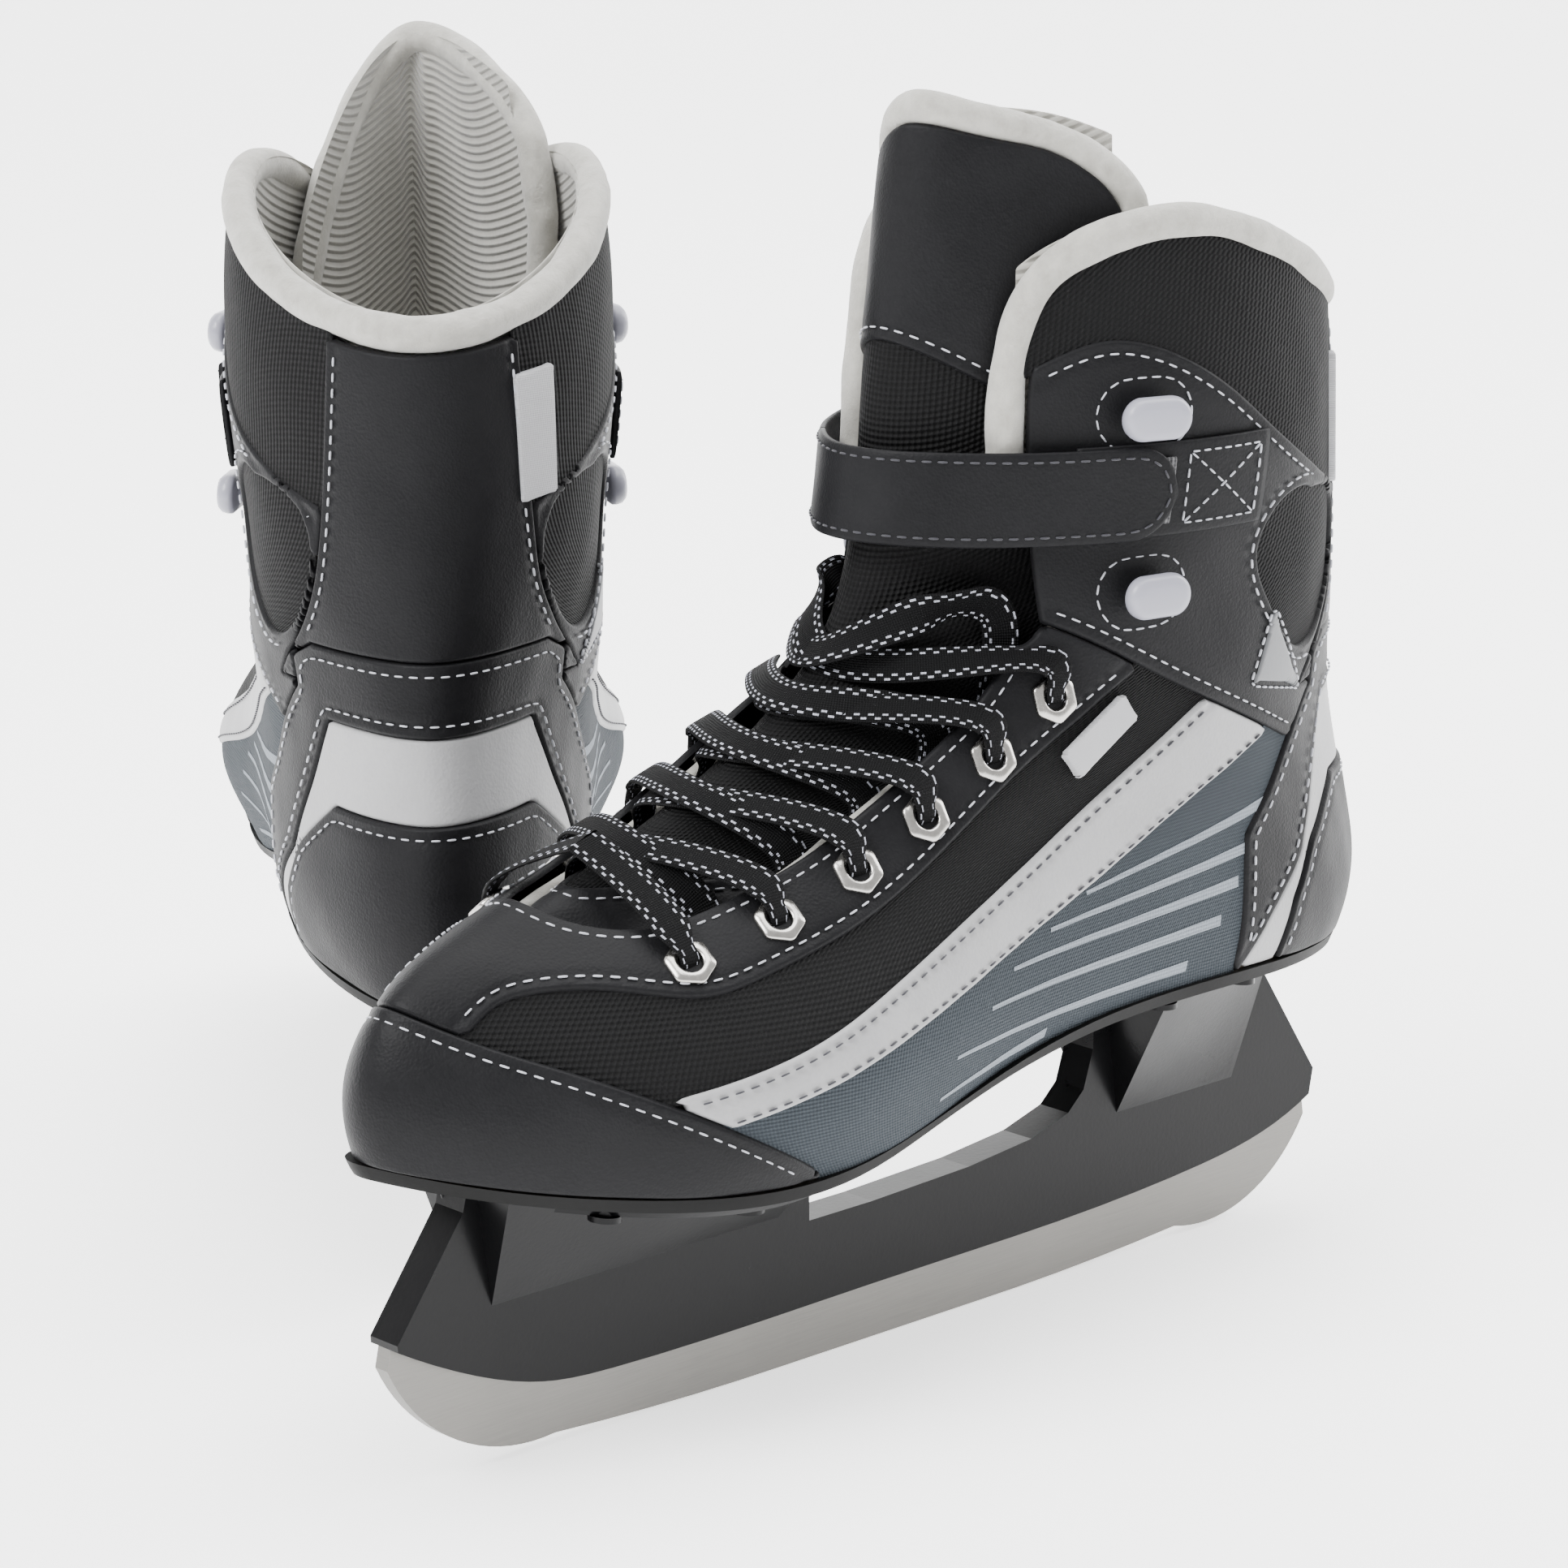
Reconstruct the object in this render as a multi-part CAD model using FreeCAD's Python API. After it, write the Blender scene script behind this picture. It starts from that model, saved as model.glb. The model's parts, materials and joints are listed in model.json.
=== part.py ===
"""A pair of laced ice skates with a closure strap, in millimetres.

One skate is drawn in its own frame: +X to the toe, +Y to the outer (lateral)
side, +Z up, with the origin on the ice under the middle of the blade.  The
upper is drawn on a base pattern and graded to the boot's length, width and
height.  The left skate is turned to stand with its toe towards -X, and the
right skate is its mirror image, standing beside it with its toe turned away.
"""
import FreeCAD, Part
import math
import os

from FreeCAD import Matrix, Vector

# ---- driving dimensions -------------------------------------------------
boot_length = 292.0          # toe to heel, over the upper
boot_width = 104.0           # across the ball
boot_height = 190.0          # sole to the top of the collar, at the ankle
upper_thickness = 2.2        # leather and mesh layer
lining_thickness = 4.0       # fleece lining
tongue_skin = 2.0            # outer layer of the tongue
tongue_pad = 4.0             # padded inner layer of the tongue
roll_bond = 1.0              # how far the fleece edge roll reaches into the pad
tongue_gap = 1.8             # room for a lace between lining and tongue
outsole_thickness = 3.0
board_thickness = 2.4
footbed_thickness = 4.0
plate_thickness = 4.0        # holder's sole plates
web_thickness = 9.0          # holder's upright wall
blade_length = 281.0
blade_thickness = 4.0
blade_height = 13.7          # steel showing below the holder at mid blade
blade_embed = 8.5            # steel held inside the holder
blade_flat = 60.0            # flat stretch that stands on the ice
sole_height = 60.0           # ice to the lowest point of the upper
eyelet_barrel_r = 3.0
eyelet_hole_r = 2.5
eyelet_flats = 10.0          # hexagon across its flats
eyelet_flange = 0.9
lace_width = 8.5
lace_thickness = 1.2
hook_length = 16.0
hook_height = 9.6
hook_head = 4.2
hook_stem_r = 2.4
hook_stand_off = 4.0
strap_height = 20.5
strap_thickness = 2.0
strap_gap = 0.4              # between the two halves of the fastener
tab_thickness = 1.7
patch_thickness = 1.1
hinge_gap = 0.5              # cut between two strap lengths
label_thickness = 0.8
rivet_r = 2.2
rivet_head_r = 3.6
rivet_head = 1.3
roll_drop = 6.0              # leather stops this far inside the fleece's edge
throat_overhang = 1.5        # fleece showing inside the lace opening
right_place = (32.0, 196.0)  # right blade's middle, in the left skate's frame
right_heading = 52.1         # degrees, toe direction of the right skate

# ---- base pattern, before grading ---------------------------------------
PATTERN_LENGTH = 292.0
PATTERN_WIDTH = 104.0
PATTERN_HEIGHT = 190.0
PATTERN_SOLE = 60.0
TOE_LEAN = 2.5               # toe turned to the inner side
# Rings round the foot: front (x, z), rear (x, z) and half widths at the
# fractions in RING_AT of the way from front to rear.
RING_AT = (0.05, 0.16, 0.32, 0.52, 0.74, 0.92)
RINGS = (
    ((128, 52), (-138, 48), (17, 35, 42, 31, 29, 17)),
    ((138, 66), (-146, 66), (20, 41, 47.5, 35, 32, 20)),
    ((142, 81), (-150, 83), (21, 42.5, 53, 42.5, 37, 24)),
    ((139, 95), (-149, 98), (17.5, 39, 50, 44, 38.5, 24)),
    ((130, 107), (-146, 112), (13, 31, 43.5, 43, 38.5, 23)),
    ((108, 117), (-143, 125), (10, 25, 39.5, 41, 38.5, 22)),
    ((72, 130), (-141, 140), (12, 27, 37.5, 41, 38.5, 21)),
    ((34, 147), (-139.5, 154), (13.5, 27, 37, 41, 38, 20.5)),
    ((11, 168), (-138, 170), (14, 27, 38, 42, 38, 20)),
    ((3, 190), (-136.5, 187), (15, 28, 39, 44, 38.5, 20)),
    ((0, 212), (-135.5, 205), (15, 29, 40, 45.5, 39, 20)),
    ((-3, 236), (-134, 224), (15, 29, 39.5, 45, 38.5, 20)),
    ((-7, 266), (-131, 246), (14, 27, 37, 42.5, 36.5, 20)),
    ((-12, 290), (-128, 270), (13, 25, 35, 40, 34, 19)),
)
SOLE_LINE = ((165, 76), (145, 72), (122, 66.5), (95, 62.5), (60, 60), (28, 62),
             (0, 68), (-30, 73.5), (-62, 75), (-100, 73), (-150, 68), (-170, 66))
TOE_SEAM = ((142, 109), (134, 103.5), (123, 97), (111, 91.5), (95, 83.5), (80, 75), (60, 63), (50, 56))
EYESTAY_LINE = ((134, 94), (124, 99.7), (118, 103.8), (111, 105.6), (98, 105.6), (83, 103.2),
                (67, 105.6), (33, 115), (-5, 134), (-24, 143), (-41, 151.5), (-60, 160))
STRIPE_TOP = ((112, 82.5), (90, 85.5), (69, 90), (55, 94), (40, 99), (24, 104.5),
              (-1, 114), (-28, 125.7), (-59, 141.3), (-80, 152))
STRIPE_BOTTOM = ((100, 72), (81, 77), (70, 79.5), (58, 82.5), (44, 86.5), (28, 90.8),
                 (10, 95.5), (-26, 107.2), (-53, 117.3), (-84, 129), (-100, 135))
COUNTER_EDGE = ((-108, 137), (-97, 126), (-87, 114), (-69, 98), (-54, 81), (-47, 66))
CUFF_SEAM = ((-10, 168), (-21, 164), (-31, 159), (-53, 147), (-78, 135), (-100, 125), (-115, 119))
CUFF_TOP = ((-10, 214), (-23, 220.5), (-30, 223.5), (-38, 224.5), (-50, 221), (-65, 212),
            (-80, 201), (-95, 192), (-110, 185), (-125, 179), (-150, 170))
STAY_EDGE = ((-121.5, 245), (-122.5, 212), (-122, 190), (-121, 172), (-118.5, 160), (-113, 151),
             (-107, 145), (-100, 138))
BAND_TOP = ((-175, 148), (-116, 148), (-102, 141), (-92, 134), (-80, 126))
PANEL_EDGE = ((-175, 131), (-120, 131), (-112, 114), (-104, 98), (-91, 86), (-82, 74), (-79, 60))
PATCH_EDGE = ((-175, 112), (-124, 112), (-109, 100), (-101, 88), (-97, 72), (-96, 60))
WINDOW = ((-99, 184), (-84, 183), (-77.5, 174), (-83, 161), (-96, 148.5), (-107, 149.5), (-116, 160), (-118, 174))
COLLAR = ((-14.5, 166), (-14.5, 205), (-16.5, 224), (-23, 239), (-37, 247.5), (-57, 250),
          (-76, 245), (-97, 236), (-118, 226.5), (-138, 222), (-175, 221))
THROAT = ((97, 9), (84, 21), (65, 26), (45, 29), (27, 30), (9, 30), (-7, 30), (-17, 29.5))
TONGUE_ARCH = ((31, 60), (31, 160), (32.5, 215), (33, 240), (29, 258), (17, 271), (0, 275))
TONGUE_UNDERSIDE = ((103, 92), (85, 92), (60, 98), (20, 112), (-20, 135), (-48, 175))
# How far the tongue stands forward of its inset form, ring by ring.
TONGUE_LIFT = (0, 0, 0, 0, 0, 2, 4, 4.5, 5.5, 6.5, 7.2, 7.2, 7.2, 7.2)
TONGUE_LIFT_BESIDE = 0.75    # share of the lift beside the middle
EYELETS = ((81, 32), (59, 34.5), (38, 35.5), (19, 36), (-1, 36), (-19, 36.5))
HOOKS = ((-43, 208), (-43, 169))
STRAP_MID = 191.5
STRAP_ROOT = -50.0           # where the strap leaves its sewn root, inner side
STRAP_CORNER = -14.0         # fold between the strap's two lengths, outer side
STRAP_TIP = -47.0
TAB_REAR = -75.0
TAB_FRONT = -27.0
SIDE_LABEL = ((-18.7, 137), (-22.5, 131), (-40.5, 141.5), (-37, 147.5))
BADGE = ((-84, 161), (-76, 142.5), (-101, 137))
REAR_LABEL = ((-115.5, 211), (-124.5, 210), (-124.5, 181), (-115.5, 182))
RIVETS = ((96, 20), (66, 31), (32, 27.5), (-68, 23), (-100, 17.5))

# ---- grading -------------------------------------------------------------
grade_x = boot_length / PATTERN_LENGTH
grade_y = boot_width / PATTERN_WIDTH
grade_z = boot_height / PATTERN_HEIGHT


def gx(x):
    return x * grade_x


def gy(y):
    return y * grade_y


def gz(z):
    return sole_height + (z - PATTERN_SOLE) * grade_z


def graded(points):
    return [(gx(x), gz(z)) for x, z in points]


# ---- small helpers -------------------------------------------------------
FAR = 400.0
REAR_COLUMN = 7              # ring point at the heel
END_STEP = 0.05              # lets inner forms pass through the outer form's ends


def spline(points):
    curve = Part.BSplineCurve()
    curve.interpolate([Vector(*p) for p in points])
    return curve.toShape()


def polygon(points):
    vectors = [Vector(*p) for p in points]
    return Part.makePolygon(vectors + [vectors[0]])


def side_prism(edges, y0=-FAR, y1=FAR):
    """Extrude a closed side-view outline, given as edges in the XZ plane, from y0 to y1."""
    face = Part.Face(Part.Wire(edges))
    face.translate(Vector(0, y0, 0))
    return face.extrude(Vector(0, y1 - y0, 0))


def flat_prism(points, y0=-FAR, y1=FAR):
    return side_prism(polygon([(x, 0, z) for x, z in points]).Edges, y0, y1)


def curve_prism(line, corners, y0=-FAR, y1=FAR):
    """The side of a curved line that holds the corners, all in side view."""
    start, end = line[0], line[-1]
    edges = [spline([(x, 0, z) for x, z in line])]
    path = [end] + list(corners) + [start]
    for (xa, za), (xb, zb) in zip(path, path[1:]):
        edges.append(Part.makeLine(Vector(xa, 0, za), Vector(xb, 0, zb)))
    return side_prism(edges, y0, y1)


def over(line):
    """Everything above a curve that runs from front to rear, out to both ends."""
    return curve_prism(line, [(-FAR, line[-1][1]), (-FAR, FAR), (FAR, FAR), (FAR, line[0][1])])


def above(line, lift=0.0):
    raised = [(x, z + lift) for x, z in line]
    return curve_prism(raised, [(raised[-1][0], FAR), (raised[0][0], FAR)])


def below(line, lift=0.0):
    raised = [(x, z + lift) for x, z in line]
    return curve_prism(raised, [(raised[-1][0], -FAR), (raised[0][0], -FAR)])


def one(shape):
    """The solids of a boolean result, without stray shells."""
    solids = shape.Solids
    return solids[0] if len(solids) == 1 else Part.makeCompound(solids)


def largest(shape):
    return max(shape.Solids, key=lambda solid: solid.Volume)


def block(x0, x1, y0, y1, z0, z1):
    return Part.makeBox(x1 - x0, y1 - y0, z1 - z0, Vector(x0, y0, z0))


# ---- the boot's surface --------------------------------------------------
def lean(x):
    t = min(max((x - 10.0) / 130.0, 0.0), 1.0)
    return -TOE_LEAN * t * t * (3 - 2 * t)


def ring_points(ring):
    (xf, zf), (xr, zr), widths = ring
    stations = [(0.0, 0.0)] + list(zip(RING_AT, widths)) + [(1.0, 0.0)]
    across = stations + [(q, -w) for q, w in reversed(stations[1:-1])]
    points = []
    for q, half in across:
        x = xf + (xr - xf) * q
        z = zf + (zr - zf) * q
        points.append(Vector(gx(x), gy(half + lean(x)), gz(z)))
    return points


def net_normals(net):
    """Outward normals of the grid of ring points."""
    rows, columns = len(net), len(net[0])
    normals = []
    for i in range(rows):
        row = []
        for j in range(columns):
            along = net[i][(j + 1) % columns] - net[i][j - 1]
            rise = net[min(i + 1, rows - 1)][j] - net[max(i - 1, 0)][j]
            normal = along.cross(rise)
            row.append(normal.normalize())
        normals.append(row)
    return normals


RING_NET = [ring_points(ring) for ring in RINGS]
RING_NORMALS = net_normals(RING_NET)


def ring_parameters():
    """One spacing for all rings, so that the skin through them is even."""
    count = len(RING_NET[0])
    steps = []
    for j in range(count):
        gaps = [(row[(j + 1) % count] - row[j]).Length ** 0.75 for row in RING_NET]
        steps.append(sum(gaps) / len(gaps))
    total = sum(steps)
    marks = [0.0]
    for step in steps:
        marks.append(marks[-1] + step / total)
    marks[-1] = 1.0
    return marks


RING_MARKS = ring_parameters()


def boot_form(inset, lift=None):
    """Closed form of the boot, moved in from the outer surface by inset.

    lift, one value a ring, brings the front forward again, as on the tongue.
    """
    wires = []
    last = len(RING_NET) - 1
    for i, (row, normals) in enumerate(zip(RING_NET, RING_NORMALS)):
        points = []
        slope = (row[REAR_COLUMN].z - row[0].z) / (row[REAR_COLUMN].x - row[0].x)
        for j, (point, normal) in enumerate(zip(row, normals)):
            depth = inset
            if lift is not None and j == 0:
                depth -= lift[i]
            if lift is not None and j in (1, len(row) - 1):
                depth -= lift[i] * TONGUE_LIFT_BESIDE
            if i in (0, last):
                level = Vector(normal.x, normal.y, 0).normalize()
                point = point - level * depth
                point.z = row[0].z + (point.x - row[0].x) * slope
                point.z += (-END_STEP if i == 0 else END_STEP) * inset
            else:
                point = point - normal * depth
            points.append(point)
        curve = Part.BSplineCurve()
        curve.interpolate(Points=points, Parameters=RING_MARKS, PeriodicFlag=True)
        wires.append(Part.Wire(curve.toShape()))
    return Part.makeLoft(wires, True, False)


def layer(outer_inset, inner_inset):
    return boot_form(outer_inset).cut(boot_form(inner_inset))


OUTER = boot_form(0)


def hit(origin, direction, form=OUTER):
    """Last point of a boot form's surface met from origin along direction."""
    ray = Part.LineSegment(origin, origin + direction * FAR)
    skin = max(form.Faces, key=lambda face: face.Area).Surface
    points = [Vector(p.X, p.Y, p.Z) for p in ray.intersectCS(skin)[0]]
    return max(points, key=lambda p: (p - origin).Length)


def surface_frame(origin, direction):
    """Surface point with its forward tangent and outward normal."""
    probe = 1.5
    point = hit(origin, direction)
    step_x = Vector(probe, 0, 0)
    step_up = direction.cross(Vector(0, 1, 0)) if abs(direction.y) < 0.5 else Vector(0, 0, 1)
    if abs(direction.y) < 0.5:
        step_x = step_up * probe
        step_up = Vector(0, 1, 0)
    fore = hit(origin + step_x, direction) - hit(origin - step_x, direction)
    rise = hit(origin + step_up * probe, direction) - hit(origin - step_up * probe, direction)
    normal = fore.cross(rise).normalize()
    if normal.dot(direction) < 0:
        normal = -normal
    fore = (fore - normal * fore.dot(normal)).normalize()
    if fore.x < 0:
        fore = -fore
    return point, fore, normal


def side_frame(x, z, side):
    return surface_frame(Vector(gx(x), 0, gz(z)), Vector(0, side, 0))


def top_frame(x, y):
    return surface_frame(Vector(gx(x), gy(y), gz(88)), Vector(0, 0, 1))


def seated(shape, frame):
    """Move a shape drawn with +X forward and +Z outward onto the surface."""
    point, fore, normal = frame
    across = normal.cross(fore)
    matrix = Matrix(fore.x, across.x, normal.x, point.x,
                    fore.y, across.y, normal.y, point.y,
                    fore.z, across.z, normal.z, point.z,
                    0, 0, 0, 1)
    return shape.transformed(matrix)


# ---- regions --------------------------------------------------------------
def shifted(line, distance):
    """A side-view line moved sideways by distance, to the right of its run."""
    moved = []
    for i, (x, z) in enumerate(line):
        xa, za = line[max(i - 1, 0)]
        xb, zb = line[min(i + 1, len(line) - 1)]
        length = math.hypot(xb - xa, zb - za)
        moved.append((x + (zb - za) / length * distance, z - (xb - xa) / length * distance))
    return moved


def sole_band(low, high):
    line = graded(SOLE_LINE)
    return above(line, low).common(below(line, high))


def under_collar(drop):
    """Everything behind and below the collar's edge, drawn in by drop."""
    line = shifted(graded(COLLAR), -drop)
    return curve_prism(line, [(-FAR, line[-1][1]), (-FAR, -FAR), (FAR, -FAR), (FAR, line[0][1])])


def throat_opening(overhang):
    """Upright prism of the lace opening, narrower by overhang on each side."""
    outer = [(gx(x), gy(y) - overhang, gy(lean(x))) for x, y in THROAT]
    toe = (gx(THROAT[0][0]) + 3.0 - overhang, 0.0)
    line = [Vector(x, half + shift, 0) for x, half, shift in reversed(outer)]
    line.append(Vector(toe[0], gy(lean(THROAT[0][0])), 0))
    line += [Vector(x, -half + shift, 0) for x, half, shift in outer]
    curve = Part.BSplineCurve()
    curve.interpolate(line)
    face = Part.Face(Part.Wire([curve.toShape(), Part.makeLine(line[-1], line[0])]))
    face.translate(Vector(0, 0, gz(95)))
    return face.extrude(Vector(0, 0, FAR))


def tongue_region(drop):
    """Where the tongue lies, with its rounded top lowered by drop."""
    half = [(gy(y), gz(z)) for y, z in TONGUE_ARCH]
    cut = gz(TONGUE_ARCH[3][1])
    half = [(max(y - drop, 0.0) if z > cut else y, z - drop if z >= cut else z) for y, z in half]
    line = half[:-1] + [(0.0, half[-1][1])] + [(-y, z) for y, z in reversed(half[:-1])]
    curve = Part.BSplineCurve()
    curve.interpolate([Vector(gx(-48), y, z) for y, z in line])
    ends = curve.StartPoint, curve.EndPoint
    face = Part.Face(Part.Wire([curve.toShape(), Part.makeLine(ends[1], ends[0])]))
    front = face.extrude(Vector(gx(151), 0, 0))
    under = graded(TONGUE_UNDERSIDE)
    return front.common(curve_prism(under, [(under[-1][0], FAR), (under[0][0], FAR)]))


# ---- the upper --------------------------------------------------------------
def upper_panels():
    """The outer layer, divided into its sewn panels."""
    rest = layer(0, upper_thickness).common(sole_band(0, FAR)).common(under_collar(roll_drop))
    rest = rest.cut(throat_opening(0))
    panels = {}

    def take(name, cutter):
        nonlocal rest
        panels[name] = one(rest.common(cutter))
        rest = rest.cut(cutter)

    take("toe_cap", curve_prism(graded(TOE_SEAM), [(gx(50), -FAR), (FAR, -FAR), (FAR, gz(109))]))
    take("heel_patch", flat_prism(graded(PATCH_EDGE) + [(-FAR, gz(60)), (-FAR, gz(112))]))
    take("heel_panel", flat_prism(graded(PANEL_EDGE) + [(-FAR, gz(60)), (-FAR, gz(131))]))
    edge = graded(COUNTER_EDGE)
    behind = curve_prism(edge, [(-FAR, edge[-1][1]), (-FAR, FAR), (edge[0][0], FAR)])
    top = graded(BAND_TOP)
    take("heel_band", behind.common(flat_prism(top + [(top[-1][0], -FAR), (-FAR, -FAR)])))
    edge = graded(STAY_EDGE)
    take("back_stay", curve_prism(edge, [(-FAR, edge[-1][1]), (-FAR, edge[0][1])]))
    window = side_prism([spline_loop(graded(WINDOW))])
    windows = rest.common(window)
    rest = rest.cut(window)
    over_cuff = over(graded(CUFF_TOP))
    panels["ankle_mesh"] = Part.makeCompound(windows.Solids + rest.common(over_cuff).Solids)
    rest = rest.cut(over_cuff)
    take("ankle_cuffs", over(graded(CUFF_SEAM)))
    take("vamp", over(graded(EYESTAY_LINE)))
    take("mesh_quarters", over(graded(STRIPE_TOP)))
    take("silver_stripes", over(graded(STRIPE_BOTTOM)))
    panels["grey_quarters"] = one(rest)
    return panels


def spline_loop(points):
    curve = Part.BSplineCurve()
    curve.interpolate(Points=[Vector(x, 0, z) for x, z in points], PeriodicFlag=True)
    return curve.toShape()


def boot_lining():
    """Fleece lining, with the roll that covers the leather's top edge."""
    inner = upper_thickness + lining_thickness
    whole = layer(upper_thickness, inner).common(under_collar(0))
    roll = layer(0, inner).common(under_collar(0)).cut(under_collar(roll_drop))
    lining = whole.fuse(roll).common(sole_band(board_thickness, FAR))
    return one(lining.cut(throat_opening(throat_overhang)).removeSplitter())


def tongue_pieces():
    seat = upper_thickness + lining_thickness + tongue_gap
    skin_form = boot_form(seat, TONGUE_LIFT)
    pad_form = boot_form(seat + tongue_skin, TONGUE_LIFT)
    back_form = boot_form(seat + tongue_skin + tongue_pad, TONGUE_LIFT)
    bond_form = boot_form(seat + tongue_skin + roll_bond, TONGUE_LIFT)
    below_roll = tongue_region(roll_drop)
    whole = tongue_region(0)
    skin = one(skin_form.cut(pad_form).common(below_roll))
    roll = largest(skin_form.cut(bond_form).common(whole.cut(below_roll)))
    pad = one(pad_form.cut(back_form).common(whole))
    return skin, one(pad.fuse(roll))


# ---- fastenings ---------------------------------------------------------------
def barrel(radius, low, high):
    return Part.makeCylinder(radius, high - low, Vector(0, 0, low))


def eyelet_frames():
    return [top_frame(x, side * y + lean(x)) for side in (1, -1) for x, y in EYELETS]


def eyelet():
    through = upper_thickness + lining_thickness
    corner = eyelet_flats / 2 / math.cos(math.pi / 6)
    hexagon = [(corner * math.cos(k * math.pi / 3), corner * math.sin(k * math.pi / 3), 0) for k in range(6)]
    flange = Part.Face(polygon(hexagon)).extrude(Vector(0, 0, eyelet_flange))
    tube = barrel(eyelet_barrel_r, -through, eyelet_flange)
    return flange.fuse(tube).cut(barrel(eyelet_hole_r, -through - 1, eyelet_flange + 1))


def hook_frames():
    return [side_frame(x, z, side) for side in (1, -1) for x, z in HOOKS]


def pill(length, height, low, high):
    r = height / 2
    half = length / 2 - r
    corners = [Vector(-half, -r, low), Vector(half, -r, low), Vector(half, r, low), Vector(-half, r, low)]
    edges = [Part.makeLine(corners[0], corners[1]),
             Part.Arc(corners[1], Vector(half + r, 0, low), corners[2]).toShape(),
             Part.makeLine(corners[2], corners[3]),
             Part.Arc(corners[3], Vector(-half - r, 0, low), corners[0]).toShape()]
    return Part.Face(Part.Wire(edges)).extrude(Vector(0, 0, high - low))


def speed_hook():
    stem = barrel(hook_stem_r, -hook_stand_off, hook_stand_off)
    head = pill(hook_length, hook_height, hook_stand_off, hook_stand_off + hook_head)
    outer = [e for e in head.Edges if min(v.Z for v in e.Vertexes) > hook_stand_off + hook_head / 2]
    return stem.fuse(head.makeFillet(hook_head * 0.35, outer))


# ---- lace ----------------------------------------------------------------------
def lace_half(start):
    """Stations of one half of the lace, from the middle of the bar to its tucked end.

    Each station is a point, the direction of the ribbon's width there, and its
    width and thickness.
    """
    under = upper_thickness + lining_thickness + tongue_gap / 2
    eyelets = {side: [top_frame(x, side * y + lean(x)) for x, y in EYELETS] for side in (1, -1)}
    flat = (lace_width, lace_thickness)
    folded = (lace_width * 0.47, lace_thickness * 1.6)
    x_bar = EYELETS[0][0]
    point, fore, normal = top_frame(x_bar, lean(x_bar))
    stations = [(point + normal * 2.2, fore, flat)]
    side = start
    for n in range(len(EYELETS)):
        point, fore, normal = eyelets[side][n]
        inward = fore.cross(normal) * -side
        inward = inward if inward.y * side < 0 else -inward
        high = normal * (eyelet_flange + lace_thickness)
        stations.append((point + high * 1.3 + inward * 7.5, fore, flat))
        stations.append((point + high + inward * 2.6, fore, folded))
        stations.append((point + normal * 0.4, fore, folded))
        stations.append((point - normal * (under - 1.2), fore, folded))
        if n + 1 == len(EYELETS):
            break
        x_next = (EYELETS[n][0] + EYELETS[n + 1][0]) / 2
        edge = gy(throat_half(x_next))
        point, fore, normal = top_frame(x_next, side * (edge + 1.0) / grade_y + lean(x_next))
        stations.append((point - normal * under, fore, flat))
        point, fore, normal = top_frame(x_next, side * (edge - 5.0) / grade_y + lean(x_next))
        stations.append((point - normal * (under - 3.4), fore, flat))
        stations.append(crossing(n, side, flat))
        side = -side
    return stations


def throat_half(x):
    for (xa, ya), (xb, yb) in zip(THROAT, THROAT[1:]):
        if xb <= x <= xa:
            return ya + (yb - ya) * (xa - x) / (xa - xb)
    return THROAT[-1][1]


def crossing(n, side, flat):
    """Middle of a strand, where it lies on the tongue or over the other strand."""
    x = (EYELETS[n][0] * 0.35 + EYELETS[n + 1][0] * 0.65)
    rise = [14, 16, 19, 24, 30][n]
    base = Vector(gx(x), gy(lean(x)), gz(100))
    direction = Vector(rise / 60.0, 0, 1).normalize()
    point, fore, normal = surface_frame(base, direction)
    lift = 0.9 if side > 0 else -0.9
    return point + normal * (lift - 2.4), fore, flat


def ribbon(stations):
    """A flat ribbon through the stations, as one ruled solid."""
    wires = []
    for i, (point, width_way, (width, thickness)) in enumerate(stations):
        before = stations[max(i - 1, 0)][0]
        after = stations[min(i + 1, len(stations) - 1)][0]
        run = (after - before).normalize()
        across = (width_way - run * width_way.dot(run)).normalize() * (width / 2)
        deep = run.cross(across).normalize() * (thickness / 2)
        corners = [point + across + deep, point - across + deep, point - across - deep, point + across - deep]
        wires.append(polygon([tuple(c) for c in corners]))
    return Part.makeLoft(wires, True, True)


def lace():
    """Both halves of the lace; each half starts at the middle of the first bar."""
    return Part.makeCompound([ribbon(lace_half(side)) for side in (1, -1)])


# ---- strap and labels ------------------------------------------------------------
strap_inner = tab_thickness + strap_gap + patch_thickness
strap_outer = strap_inner + strap_thickness
strap_low = gz(STRAP_MID) - strap_height / 2
strap_high = gz(STRAP_MID) + strap_height / 2


def strap_band(inner, outer, spans, trim=0.0):
    """A length of band round the shaft; each span is its first and last x and its side."""
    region = None
    for x0, x1, side in spans:
        y0, y1 = (0.0, FAR) if side > 0 else (-FAR, 0.0)
        room = block(x0, x1, y0, y1, strap_low + trim, strap_high - trim)
        region = room if region is None else region.fuse(room)
    return layer(-outer, -inner).common(region)


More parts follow.
